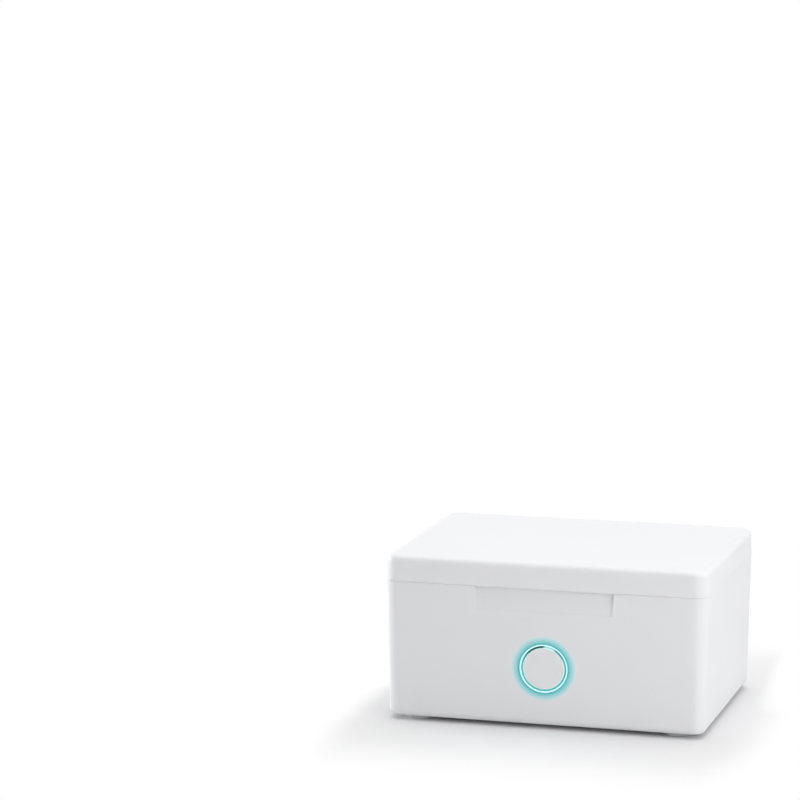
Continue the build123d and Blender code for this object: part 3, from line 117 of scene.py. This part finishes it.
class Finish:
    """A material and its node tree."""

    def __init__(self, name):
        self.material = bpy.data.materials.new(name)
        self.material.use_nodes = True
        self.tree = self.material.node_tree
        self.surface = self.tree.nodes["Principled BSDF"]
        self._place = None
        self._axes = None

    def node(self, kind, settings=None, inputs=None):
        """Adds a node: its settings first, then the values or links of its sockets."""
        made = self.tree.nodes.new(kind)
        for name, value in (settings or {}).items():
            if name == "stops":
                self._set_stops(made.color_ramp, value)
            else:
                setattr(made, name, value)
        self.put(made, inputs or {})
        return made

    def put(self, node, inputs):
        for name, value in inputs.items():
            socket = node.inputs[name]
            if isinstance(value, Value):
                self.tree.links.new(value.socket, socket)
            elif isinstance(value, bpy.types.NodeSocket):
                self.tree.links.new(value, socket)
            else:
                socket.default_value = value

    @staticmethod
    def _set_stops(ramp, stops):
        while len(ramp.elements) < len(stops):
            ramp.elements.new(0.5)
        for element, (place, colour) in zip(ramp.elements, stops):
            element.position = place
            element.color = (*colour, 1.0)

    def set(self, **sockets):
        """Sockets of the surface shader, with spaces as underscores."""
        self.put(self.surface, {k.replace("_", " "): v for k, v in sockets.items()})
        return self

    def place(self):
        if self._place is None:
            self._place = self.node("ShaderNodeTexCoord").outputs["Object"]
        return self._place

    def axis(self, index):
        """The place along X, Y or Z, in millimetres."""
        if self._axes is None:
            made = self.node("ShaderNodeSeparateXYZ", None, {0: self.place()})
            self._axes = [Value(self, out) * 1000.0 for out in made.outputs]
        return self._axes[index]

    def distance(self, first, second, at):
        """How far a point is from an axis, in millimetres: first and second are its two directions."""
        a = self.axis(first) - at[0]
        b = self.axis(second) - at[1]
        return (a * a + b * b).apply("SQRT")

    def stretched(self, x, y, z):
        """The place with each direction scaled, for a grain that runs one way."""
        made = self.node("ShaderNodeMapping", None, {"Vector": self.place(), "Scale": (x, y, z)})
        return made.outputs[0]

    def noise(self, scale, detail=2.0, roughness=0.5, vector=None):
        """Noise from 0 to 1; scale is in features per metre."""
        inputs = {"Vector": vector or self.place(), "Scale": scale}
        inputs |= {"Detail": detail, "Roughness": roughness}
        return Value(self, self.node("ShaderNodeTexNoise", None, inputs).outputs[0])

    def cells(self, scale, feature="F1"):
        """Distance to the nearest of scattered points, 0 to about 1."""
        made = self.node(
            "ShaderNodeTexVoronoi", {"feature": feature}, {"Vector": self.place(), "Scale": scale}
        )
        return Value(self, made.outputs["Distance"])

    def blend(self, factor, first, second):
        """A colour between first and second."""
        inputs = {"Factor": factor, 6: rgba(first), 7: rgba(second)}
        return self.node("ShaderNodeMix", {"data_type": "RGBA"}, inputs).outputs[2]

    def bump(self, height, distance, strength=1.0, under=None):
        """Relief from a height of 0 to 1 that stands for this distance in millimetres."""
        inputs = {"Height": height, "Distance": distance * MM, "Strength": strength}
        if under is not None:
            inputs["Normal"] = under
        return self.node("ShaderNodeBump", None, inputs).outputs["Normal"]


def rgba(colour):
    if isinstance(colour, (tuple, list)) and len(colour) == 3:
        return (*colour, 1.0)
    return colour


def shaded(colour, factor):
    return tuple(c * factor for c in colour)


# ---------------------------------------------------------------- finishes
def moulded(name, colour, roughness=0.42, grain=0.012, flow=0.02, coat=0.0):
    """Satin moulded plastic: a fine spark-eroded grain over faint flow marks."""
    f = Finish(name)
    f.tint = f.blend(f.noise(28.0, 3.0), shaded(colour, 1 - 2 * flow), colour)
    f.set(Base_Color=f.tint)
    grit = f.noise(5200.0, 2.0, 0.6)
    broad = f.noise(160.0, 2.0)
    f.set(Roughness=roughness - 0.04 + 0.05 * grit + 0.03 * broad)
    f.set(Normal=f.bump(grit, grain, 0.55, f.bump(broad, 0.05, 0.25)))
    f.set(IOR=1.47, Coat_Weight=coat)
    return f


def shell_finish(name):
    return moulded(name, SHELL_COLOUR)


def round_button(f):
    """How far from the button's axis, and the masks for the shade painted in the groove and the
    highlight painted at its top.
    """
    across = f.axis(0) - BUTTON_PLACE[0]
    up = f.axis(2) - BUTTON_PLACE[2]
    r = (across * across + up * up).apply("SQRT")
    turn = across.apply("ARCTAN2", up)
    # Painted shade: a dark arc over the groove up to the left and a fainter one up to the right. Turns
    # run clockwise from straight up, in radians.
    left = turn.rise(-1.35, -0.75) * turn.rise(0.0, -0.08)
    right = turn.rise(0.5, 0.58) * turn.rise(1.35, 0.85)
    # Painted highlight: a pale arc across the top of the groove, from straight up to a little right of
    # it.
    painted_highlight = turn.rise(-0.02, 0.05) * turn.rise(0.55, 0.48)
    return r, left * 0.9 + right * 0.4, painted_highlight


def painted_glow_shell_finish():
    """The base's moulding with painted light round the button: the ring's teal light is painted into
    its colour and as a glow, a third dimmer at the bore's edge as painted shade.
    """
    f = shell_finish("base_moulding_painted_glow")
    r = f.distance(0, 2, (BUTTON_PLACE[0], BUTTON_PLACE[2]))
    front = f.axis(1).rise(-40.0, -41.5)
    # Painted light: the ring's teal spills over the front face, full at the ring and gone 11.6 mm from
    # its axis, painted into the colour.
    painted_spill = r.rise(11.6, 8.5, smooth=False) * front
    f.set(Base_Color=f.blend(painted_spill, f.tint, (0.012, 0.31, 0.335)))
    # Painted glow round the ring, a third dimmer at the bore's edge as painted shade.
    glow = painted_spill.apply("SQRT") * (1.0 - 0.35 * r.rise(9.15, 8.85))
    f.set(Emission_Color=f.blend(glow, (0, 0, 0), (0.008, 0.235, 0.25)), Emission_Strength=1.0)
    return f


def ring_finish():
    """Clear diffuser, lit from behind: brightest along its crown, deep teal in the groove. Painted
    shade falls in arcs across the groove with a painted highlight between them, and the colour is
    painted paler along the crown.
    """
    f = Finish("lit_diffuser")
    r, shade, painted_highlight = round_button(f)
    patch = f.noise(900.0, 2.0)
    glow = r.rise(7.96, 8.1) * r.rise(8.66, 8.4) * (0.9 + 0.1 * patch)
    groove = r.rise(8.06, 7.96)
    soft = f.blend(glow, (0.055, 0.225, 0.235), (0.40, 0.58, 0.585))
    # Painted shade: the dark arcs across the groove.
    dark = f.blend(shade * groove, soft, (0.0, 0.04, 0.042))
    # Painted highlight: the pale arc at the top of the groove.
    f.set(Emission_Color=f.blend(painted_highlight * groove, dark, (0.50, 0.62, 0.62)), Emission_Strength=1.0)
    # Colour paler along the crown, where the ring glows most: painted light.
    plain = f.blend(glow, (0.05, 0.30, 0.315), (0.42, 0.66, 0.67))
    # The painted shade of the groove's dark arcs goes into the colour as well.
    f.set(Base_Color=f.blend(shade * groove, plain, (0.01, 0.14, 0.145)))
    f.set(Roughness=0.24 + 0.08 * patch, IOR=1.49)
    f.set(Normal=f.bump(f.noise(2600.0), 0.006, 0.4))
    return f


def button_finish():
    """Satin cap with painted light: a painted highlight line along its rounded edge, below that the
    ring's teal light painted on, and the groove's painted shade and painted highlight arcs.
    """
    f = moulded("button_moulding", (0.868, 0.876, 0.885), 0.40, 0.010)
    r, shade, painted_highlight = round_button(f)
    # Painted highlight: a pale line along the cap's rounded edge.
    painted_edge_highlight = r.rise(7.05, 7.25)
    # Painted light: the ring's teal on the cap's side.
    edge = r.rise(7.34, 7.44)
    # Painted shade from the groove's dark arcs.
    dark = shade * r.rise(7.3, 7.4)
    # Painted highlight from the groove's pale arc.
    painted_glint = painted_highlight * r.rise(7.05, 7.25)
    tinted = f.blend(painted_edge_highlight, f.tint, (0.70, 0.86, 0.865))
    teal = f.blend(edge, tinted, (0.16, 0.46, 0.475))
    f.set(Base_Color=f.blend(dark, teal, (0.01, 0.16, 0.165)))
    # Emission carries the painted highlights and the ring's teal light. The painted shade takes it
    # away.
    pale = f.blend(painted_edge_highlight, (0, 0, 0), (0.13, 0.22, 0.22))
    lit = f.blend(edge, pale, (0.06, 0.225, 0.23))
    unlit = f.blend(dark, lit, (0.0, 0.0, 0.0))
    f.set(Emission_Color=f.blend(painted_glint, unlit, (0.22, 0.30, 0.30)), Emission_Strength=1.0)
    return f


def rubber(name, colour, roughness=0.62):
    """Soft silicone with a bloom of fine dust."""
    f = Finish(name)
    dust = f.noise(1400.0, 4.0, 0.65)
    f.set(Base_Color=f.blend(dust, shaded(colour, 0.92), colour))
    f.set(Roughness=roughness - 0.06 + 0.14 * dust)
    f.set(Normal=f.bump(dust, 0.02, 0.5), IOR=1.41)
    return f


def metal(name, colour, roughness, stretch=(1, 1, 1), streak=0.1, scale=1800.0):
    """Bare or plated metal with fine streaks."""
    f = Finish(name)
    lines = f.noise(scale, 3.0, 0.6, f.stretched(*stretch))
    f.set(Base_Color=f.blend(lines, shaded(colour, 0.9), colour), Metallic=1.0)
    f.set(Roughness=roughness + streak * lines)
    f.set(Normal=f.bump(lines, 0.006, 0.35))
    return f


def quartz():
    """Clear window glass with faint smears."""
    f = Finish("quartz")
    smear = f.noise(220.0, 3.0)
    f.set(Base_Color=(0.93, 0.97, 1.0, 1.0), Roughness=0.02 + 0.05 * smear)
    f.set(Normal=f.bump(smear, 0.01, 0.2), Transmission_Weight=0.92, IOR=1.46)
    return f


def circuit_board():
    """Green solder mask over copper tracks, with tinned pads."""
    f = Finish("solder_mask")
    tracks = f.node(
        "ShaderNodeTexWave",
        {"wave_type": "BANDS", "bands_direction": "DIAGONAL", "wave_profile": "SIN"},
        {"Vector": f.place(), "Scale": 210.0, "Distortion": 7.0, "Detail": 0.0},
    )
    raised = Value(f, tracks.outputs["Fac"]).rise(0.55, 0.65)
    pads = f.cells(330.0).rise(0.27, 0.24)
    green = f.blend(raised, (0.012, 0.10, 0.045), (0.022, 0.19, 0.085))
    f.set(Base_Color=f.blend(pads, green, (0.66, 0.64, 0.58)), Metallic=pads * 0.9)
    f.set(Roughness=0.34 + 0.05 * f.noise(3000.0) - 0.06 * pads)
    f.set(Normal=f.bump(raised, 0.035, 0.6))
    return f


def lamp_chip():
    """Pale ceramic lamp body."""
    f = Finish("lamp_chip")
    fleck = f.noise(2400.0, 2.0)
    f.set(Base_Color=f.blend(fleck, (0.82, 0.76, 0.50), (0.90, 0.87, 0.70)))
    f.set(Roughness=0.22 + 0.16 * fleck, Normal=f.bump(fleck, 0.01, 0.3), Coat_Weight=0.3)
    return f


def filled_duct():
    """Glass-filled heat proof moulding: short pale fibres show in the black."""
    f = Finish("filled_duct")
    fibre = f.noise(1500.0, 2.0, 0.5, f.stretched(1.0, 0.22, 1.0)).rise(0.62, 0.74)
    f.set(Base_Color=f.blend(fibre, (0.055, 0.055, 0.06), (0.13, 0.13, 0.135)))
    f.set(Roughness=0.56 + 0.12 * f.noise(700.0), Normal=f.bump(fibre, 0.02, 0.5))
    return f


def fired_ceramic():
    f = Finish("fired_ceramic")
    speck = f.cells(1500.0).rise(0.22, 0.1)
    body = f.blend(f.noise(180.0, 3.0), (0.50, 0.40, 0.31), (0.62, 0.51, 0.41))
    f.set(Base_Color=f.blend(speck, body, (0.24, 0.19, 0.15)))
    f.set(Roughness=0.72 + 0.1 * f.noise(900.0), Normal=f.bump(f.noise(1600.0, 3.0), 0.03, 0.6))
    return f


def laminated_core():
    """Stacked sheets: fine level lines up the side of the motor's core."""
    f = metal("laminated_core", (0.42, 0.42, 0.43), 0.34)
    sheet = (f.axis(2) * (2 * math.pi / 0.5)).apply("SINE").rise(-0.9, -0.6)
    f.set(Base_Color=f.blend(sheet, (0.08, 0.08, 0.085), (0.42, 0.42, 0.43)))
    f.set(Normal=f.bump(sheet, 0.04, 0.7))
    return f


def enamelled_wire():
    """Copper turns side by side, round each arm of the core."""
    f = Finish("enamelled_wire")
    reach = f.distance(0, 1, FAN_PLACE)
    turn = (reach * (2 * math.pi / 0.28)).apply("SINE") * 0.5 + 0.5
    f.set(Base_Color=f.blend(turn, (0.30, 0.10, 0.03), (0.72, 0.34, 0.15)), Metallic=0.85)
    f.set(Roughness=0.24 + 0.1 * f.noise(1200.0), Normal=f.bump(turn, 0.12, 0.9), Coat_Weight=0.5)
    return f


def board_part_finish():
    """Black chips, and capacitors with a dark blue sleeve and a bare top."""
    f = Finish("chips_and_capacitors")
    near = None
    for at in CAPACITORS:
        r = f.distance(0, 1, at)
        near = r if near is None else near.apply("MINIMUM", r)
    can = near.rise(3.25, 3.2)
    top = can * f.axis(2).rise(CAPACITOR_TOP - 0.35, CAPACITOR_TOP - 0.3) * near.rise(2.75, 2.7)
    grit = f.noise(3200.0, 2.0)
    epoxy = f.blend(grit, (0.018, 0.018, 0.02), (0.035, 0.035, 0.038))
    sleeve = f.blend(can, epoxy, (0.015, 0.03, 0.075))
    f.set(Base_Color=f.blend(top, sleeve, (0.74, 0.74, 0.75)), Metallic=top)
    f.set(Roughness=0.5 - 0.2 * can + 0.08 * grit, Normal=f.bump(grit, 0.012, 0.4))
    return f


def inlet_finish():
    """Plated shell; the tongue is black with a row of gilt contacts on each side."""
    f = Finish("inlet")
    level = (f.axis(2) - INLET_Z).apply("ABSOLUTE")
    aside = (f.axis(0) - BOARD_MID_X).apply("ABSOLUTE")
    tongue = level.rise(0.5, 0.45) * aside.rise(3.5, 3.45) * f.axis(1).rise(34.9, 34.95)
    stripe = (f.axis(0) * (2 * math.pi / 0.5)).apply("SINE").rise(0.1, 0.3)
    gilt = tongue * stripe * level.rise(0.3, 0.34) * f.axis(1).rise(INLET_BACK - 0.9, INLET_BACK - 1.0)
    brushed = f.noise(2600.0, 3.0, 0.6, f.stretched(1, 0.1, 1))
    steel = f.blend(brushed, (0.56, 0.56, 0.57), (0.66, 0.66, 0.67))
    dark = f.blend(tongue, steel, (0.02, 0.02, 0.022))
    f.set(Base_Color=f.blend(gilt, dark, (0.80, 0.58, 0.22)))
    f.set(Metallic=1.0 - tongue + gilt, Roughness=0.26 + 0.1 * brushed)
    f.set(Normal=f.bump(brushed, 0.006, 0.3))
    return f


SHELL_COLOUR = (0.86, 0.863, 0.878)
finishes = {
    "shell": shell_finish("lid_moulding"),
    "inner": moulded("inner_moulding", (0.80, 0.81, 0.825), 0.46, 0.014),
    "grille": moulded("grille_moulding", (0.70, 0.72, 0.735), 0.44, 0.014),
    "button": button_finish(),
    "light_ring": ring_finish(),
    "reflector": metal("polished_sheet", (0.88, 0.885, 0.90), 0.09, (0.08, 1, 1), 0.08, 900.0),
    "seal": rubber("seal_silicone", (0.60, 0.62, 0.64)),
    "foot": rubber("foot_silicone", (0.66, 0.67, 0.68), 0.58),
    "steel": metal("plated_steel", (0.62, 0.62, 0.63), 0.26),
    "magnet": metal("nickel_plate", (0.72, 0.71, 0.69), 0.14, streak=0.07, scale=700.0),
    "window": quartz(),
    "circuit": circuit_board(),
    "led": lamp_chip(),
    "duct": filled_duct(),
    "ceramic": fired_ceramic(),
    "fins": metal("bare_aluminium", (0.78, 0.78, 0.79), 0.30, (1, 1, 0.06), 0.14),
    "black": moulded("black_moulding", (0.028, 0.028, 0.031), 0.40, 0.014, 0.06),
    "winding": laminated_core(),
    "chip": board_part_finish(),
    "plug": moulded("plug_moulding", (0.80, 0.77, 0.66), 0.38, 0.008),
    "lead": rubber("lead_sleeve", (0.035, 0.035, 0.038), 0.46),
}
by_node = {
    "base_shell": painted_glow_shell_finish(),
    "usb_inlet": inlet_finish(),
}
coil_finish = enamelled_wire()

for node, obj in nodes.items():
    obj.data.materials.clear()
    obj.data.materials.append(by_node.get(node, finishes[slot_of[node]]).material)


# ---------------------------------------------------------------- making pieces
def made_piece(name, bm, finish, body, crease=34.0):
    """Closes a bmesh into a finished piece that rides on a body."""
    bmesh.ops.remove_doubles(bm, verts=bm.verts, dist=0.001 * MM)
    bmesh.ops.dissolve_degenerate(bm, edges=bm.edges, dist=0.0005 * MM)
    bmesh.ops.recalc_face_normals(bm, faces=bm.faces)
    for face in bm.faces:
        face.smooth = True
    for edge in bm.edges:
        if len(edge.link_faces) == 2 and edge.calc_face_angle() > math.radians(crease):
            edge.smooth = False
    mesh = bpy.data.meshes.new(name)
    bm.to_mesh(mesh)
    bm.free()
    mesh.materials.append(finish.material)
    piece = bpy.data.objects.new(name, mesh)
    bpy.context.scene.collection.objects.link(piece)
    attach(piece, body)
    return piece


def turned(profile, rounds, steps=128):
    """A body of revolution about Z. The profile is a list of (radius, height) in millimetres,
    and rounds gives the radius of its rounded corners by their number."""
    bm = bmesh.new()
    corners = [bm.verts.new((r * MM, 0, z * MM)) for r, z in profile]
    for pair in zip(corners, corners[1:]):
        bm.edges.new(pair)
    if profile[0][0] > 0:
        bm.edges.new((corners[-1], corners[0]))
    for number, radius in rounds.items():
        bmesh.ops.bevel(
            bm,
            geom=[corners[number]],
            offset=radius * MM,
            offset_type="OFFSET",
            segments=5,
            profile=0.5,
            affect="VERTICES",
            material=-1,
        )
    bmesh.ops.spin(
        bm,
        geom=bm.verts[:] + bm.edges[:],
        cent=(0, 0, 0),
        axis=(0, 0, 1),
        angle=2 * math.pi,
        steps=steps,
        use_merge=True,
    )
    return bm


def on_button_axis(bm):
    """Stands a piece that was turned about Z on the button's axis, facing out."""
    turn = Matrix.Rotation(math.pi / 2 + BUTTON_TILT, 4, "X")
    place = Matrix.Translation(Vector(BUTTON_PLACE) * MM)
    bmesh.ops.transform(bm, matrix=place @ turn, verts=bm.verts)
    return bm


def light_ring():
    profile = [
        (8.0, -0.02),
        (8.8, -0.02),
        (8.8, -2.0),
        (10.65, -2.0),
        (10.65, -3.4),
        (10.25, -3.4),
        (10.25, -8.2),
        (8.75, -8.2),
        (8.75, -3.4),
        (7.7, -3.4),
        (7.7, -1.0),
        (8.0, -1.0),
    ]
    rounds = {0: 0.32, 1: 0.32, 3: 0.2, 4: 0.15, 6: 0.2, 7: 0.2, 9: 0.15, 10: 0.12}
    bm = on_button_axis(turned(profile, rounds))
    piece = made_piece("ring_diffuser", bm, finishes["light_ring"], "base")
    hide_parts("light_ring")


def button_cap():
    profile = [
        (0, -0.24),
        (2.6, -0.21),
        (5.0, -0.11),
        (6.7, -0.02),
        (7.45, -0.02),
        (7.45, -3.6),
        (8.4, -3.6),
        (8.4, -4.4),
        (6.25, -4.4),
        (6.25, -1.6),
        (1.8, -1.6),
        (1.8, -5.4),
        (0, -5.4),
    ]
    rounds = {1: 0.8, 2: 0.8, 3: 0.5, 4: 0.42, 6: 0.15, 7: 0.15, 9: 0.4, 10: 0.4, 11: 0.2}
    bm = on_button_axis(turned(profile, rounds))
    piece = made_piece("button_disc", bm, finishes["button"], "button")
    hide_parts("button_cap")


def foot(node):
    """A soft foot: a shallow cup under it, a rolled edge, and a plug in the case."""
    low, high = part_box(node)
    tall = (high.z - low.z) / MM
    reach = (high.x - low.x) / 2 / MM
    profile = [
        (0, 0.25),
        (reach - 2.2, 0.25),
        (reach - 1.7, 0),
        (reach, 0),
        (reach, tall),
        (0, tall),
    ]
    bm = turned(profile, {1: 0.25, 2: 0.25, 3: 0.55, 4: 0.1}, 64)
    middle = Vector(((low.x + high.x) / 2, (low.y + high.y) / 2, low.z))
    bmesh.ops.translate(bm, vec=middle, verts=bm.verts)
    piece = made_piece(node + "_pad", bm, finishes["foot"], "base")
    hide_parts(node)


def rounded_loop(bm, half_x, half_y, corner, middle, height):
    """Adds a level rounded rectangle of edges and gives them back."""
    made = bmesh.ops.create_grid(bm, x_segments=1, y_segments=1, size=1.0)
    sheet = made["verts"][0].link_faces[0]
    bmesh.ops.scale(bm, vec=(half_x, half_y, 1), verts=made["verts"])
    bmesh.ops.translate(bm, vec=(middle[0], middle[1], height), verts=made["verts"])
    before = set(bm.edges) - set(sheet.edges)
    bmesh.ops.bevel(
        bm,
        geom=made["verts"],
        offset=corner,
        offset_type="OFFSET",
        segments=14,
        profile=0.5,
        affect="VERTICES",
        material=-1,
    )
    edges = [edge for edge in bm.edges if edge not in before]
    flat = {face for edge in edges for face in edge.link_faces}
    bmesh.ops.delete(bm, geom=list(flat), context="FACES_ONLY")
    return edges


def lid_seal():
    """A silicone band in the liner's groove, with a soft round lip below."""
    low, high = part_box("lid_seal")
    middle = ((low.x + high.x) / 2, (low.y + high.y) / 2)
    half_x = (high.x - low.x) / 2
    half_y = (high.y - low.y) / 2
    wide = 2.2 * MM
    corner = 11.3 * MM
    bm = bmesh.new()
    outer = rounded_loop(bm, half_x, half_y, corner, middle, high.z)
    inner = rounded_loop(bm, half_x - wide, half_y - wide, corner - wide, middle, high.z)
    bmesh.ops.bridge_loops(bm, edges=outer + inner)
    top = bm.faces[:]
    made = bmesh.ops.extrude_face_region(bm, geom=top, use_keep_orig=True)
    fresh = [item for item in made["geom"] if isinstance(item, bmesh.types.BMVert)]
    bmesh.ops.translate(bm, vec=(0, 0, low.z - high.z), verts=fresh)
    chosen = set(fresh)
    rims = [e for e in bm.edges if set(e.verts) <= chosen and abs(e.calc_face_angle(0)) > 1.0]
    bmesh.ops.bevel(
        bm, geom=rims, offset=0.7 * MM, segments=5, profile=0.5, affect="EDGES", material=-1
    )
    piece = made_piece("seal_lip", bm, finishes["seal"], "lid")
    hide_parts("lid_seal")


def floor_grille():
    """The grille with eased edges round every slot."""
    low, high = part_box("floor_grille")
    bm = bmesh.new()
    bm.from_mesh(nodes["floor_grille"].data)
    bmesh.ops.remove_doubles(bm, verts=bm.verts, dist=0.002 * MM)
    bmesh.ops.dissolve_limit(
        bm, angle_limit=math.radians(1.0), verts=bm.verts, edges=bm.edges, delimit=set()
    )
    rims = [
        e
        for e in bm.edges
        if len(e.link_faces) == 2
        and all(abs(v.co.z - high.z) < 0.01 * MM for v in e.verts)
        and e.calc_face_angle() > 1.0
    ]
    bmesh.ops.bevel(
        bm, geom=rims, offset=0.35 * MM, segments=3, profile=0.5, affect="EDGES", material=-1
    )
    piece = made_piece("grille_plate", bm, finishes["grille"], "base")
    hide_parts("floor_grille")


def stator_coils():
    """Four coils, each wound round one arm of the motor's core."""
    bm = bmesh.new()
    for turn in range(4):
        made = bmesh.ops.create_cube(bm, size=1.0)
        verts = made["verts"]
        ends = [f for f in {f for v in verts for f in v.link_faces} if abs(f.normal.x) > 0.9]
        bmesh.ops.delete(bm, geom=ends, context="FACES_ONLY")
        bmesh.ops.scale(bm, vec=(2.1 * MM, 4.2 * MM, 4.0 * MM), verts=verts)
        bmesh.ops.translate(bm, vec=(5.5 * MM, 0, 10.35 * MM), verts=verts)
        long_edges = [
            e for e in {e for v in verts for e in v.link_edges} if len(e.link_faces) == 2
        ]
        rounded = bmesh.ops.bevel(
            bm, geom=long_edges, offset=0.7 * MM, segments=4, profile=0.5, affect="EDGES", material=-1
        )
        shell = {f for v in verts if v.is_valid for f in v.link_faces} | set(rounded["faces"])
        moved = list({v for f in shell for v in f.verts})
        bmesh.ops.rotate(
            bm, cent=(0, 0, 0), matrix=Matrix.Rotation(turn * math.pi / 2, 3, "Z"), verts=moved
        )
    bmesh.ops.recalc_face_normals(bm, faces=bm.faces)
    bmesh.ops.solidify(bm, geom=bm.faces[:], thickness=0.72 * MM)
    bmesh.ops.translate(bm, vec=(FAN_PLACE[0] * MM, FAN_PLACE[1] * MM, 0), verts=bm.verts)
    made_piece("stator_coils", bm, coil_finish, "base")


light_ring()
button_cap()
for corner_foot in ("foot_front_left", "foot_front_right", "foot_back_left", "foot_back_right"):
    foot(corner_foot)
lid_seal()
floor_grille()
stator_coils()


# ---------------------------------------------------------------- floor, light and camera
def floor_sheet():
    """White paper: grey only where the object shades it, pure white from a few fingers' width away."""
    bm = bmesh.new()
    bmesh.ops.create_grid(bm, x_segments=2, y_segments=2, size=6.0)
    mesh = bpy.data.meshes.new("floor")
    bm.to_mesh(mesh)
    bm.free()
    floor = bpy.data.objects.new("floor", mesh)
    bpy.context.scene.collection.objects.link(floor)
    paper = Finish("floor_paper")
    paper.set(Base_Color=(0.84, 0.84, 0.845, 1.0), Roughness=0.95, Specular_IOR_Level=0.0)
    side = paper.axis(0).apply("ABSOLUTE") - 57.0
    left = paper.axis(0).rise(-57.0, -58.0)
    back = paper.axis(1).apply("MAXIMUM", 0.0) * 0.1
    aside = side.apply("MAXIMUM", 0.0) * (3.0 + 0.6 * left + back)
    beyond = (paper.axis(1).apply("ABSOLUTE") - 43.0).apply("MAXIMUM", 0.0)
    away = (aside * aside + beyond * beyond).apply("SQRT").rise(24.0, 72.0)
    rays = paper.node("ShaderNodeLightPath").outputs
    seen = Value(paper, rays["Is Camera Ray"])
    for kind in ("Is Glossy Ray", "Is Transmission Ray"):
        seen = seen.apply("MAXIMUM", rays[kind])
    white = paper.node("ShaderNodeEmission", None, {"Color": (1, 1, 1, 1), "Strength": 1.0})
    mix = paper.node(
        "ShaderNodeMixShader",
        None,
        {0: away * seen, 1: paper.surface.outputs[0], 2: white.outputs[0]},
    )
    paper.put(paper.tree.nodes["Material Output"], {"Surface": mix.outputs[0]})
    mesh.materials.append(paper.material)


def softbox(name, place, aim, size, power):
    data = bpy.data.lights.new(name, "AREA")
    data.shape = "RECTANGLE"
    data.size, data.size_y = size
    data.energy = power
    lamp = bpy.data.objects.new(name, data)
    bpy.context.scene.collection.objects.link(lamp)
    lamp.location = place
    lamp.rotation_mode = "QUATERNION"
    lamp.rotation_quaternion = (Vector(aim) - Vector(place)).to_track_quat("-Z", "Y")
    return lamp


def studio_world(strength):
    world = bpy.data.worlds.new("studio")
    bpy.context.scene.world = world
    world.use_nodes = True
    tree = world.node_tree
    tree.nodes.clear()
    out = tree.nodes.new("ShaderNodeOutputWorld")
    mix = tree.nodes.new("ShaderNodeMixShader")
    seen = tree.nodes.new("ShaderNodeBackground")
    lit = tree.nodes.new("ShaderNodeBackground")
    ray = tree.nodes.new("ShaderNodeLightPath")
    for shade, level in ((lit, strength), (seen, 1.0)):
        shade.inputs["Color"].default_value = (1, 1, 1, 1)
        shade.inputs["Strength"].default_value = level
    shown = ray.outputs["Is Camera Ray"]
    for kind in ("Is Glossy Ray", "Is Transmission Ray"):
        either = tree.nodes.new("ShaderNodeMath")
        either.operation = "MAXIMUM"
        tree.links.new(shown, either.inputs[0])
        tree.links.new(ray.outputs[kind], either.inputs[1])
        shown = either.outputs[0]
    tree.links.new(shown, mix.inputs[0])
    tree.links.new(lit.outputs[0], mix.inputs[1])
    tree.links.new(seen.outputs[0], mix.inputs[2])
    tree.links.new(mix.outputs[0], out.inputs[0])


floor_sheet()
studio_world(0.296)
softbox("top_box", (0.15, 0.1, 1.3), (0, 0, 0), (1.4, 1.4), 11.75)
softbox("right_box", (1.1, 0.15, 0.16), (0, 0, 0.03), (0.9, 0.3), 1.2)
softbox("left_box", (-1.1, 0.15, 0.16), (0, 0, 0.03), (0.9, 0.3), 7.2)
softbox("front_box", (0.38, -0.36, 0.26), (0, 0, 0.03), (0.3, 0.3), 0.94)
softbox("back_box", (-0.5, 0.9, 0.9), (0, 0, 0.02), (0.9, 0.9), 1.16)

camera_data = bpy.data.cameras.new("camera")
camera_data.lens = 153.317
camera_data.sensor_width = 36.0
camera = bpy.data.objects.new("camera", camera_data)
bpy.context.scene.collection.objects.link(camera)
camera.location = (0.27132, -1.16265, 0.29161)
camera.rotation_euler = (math.radians(81.319), 0.0, math.radians(16.093))
bpy.context.scene.camera = camera
bpy.context.scene.view_settings.view_transform = "Standard"
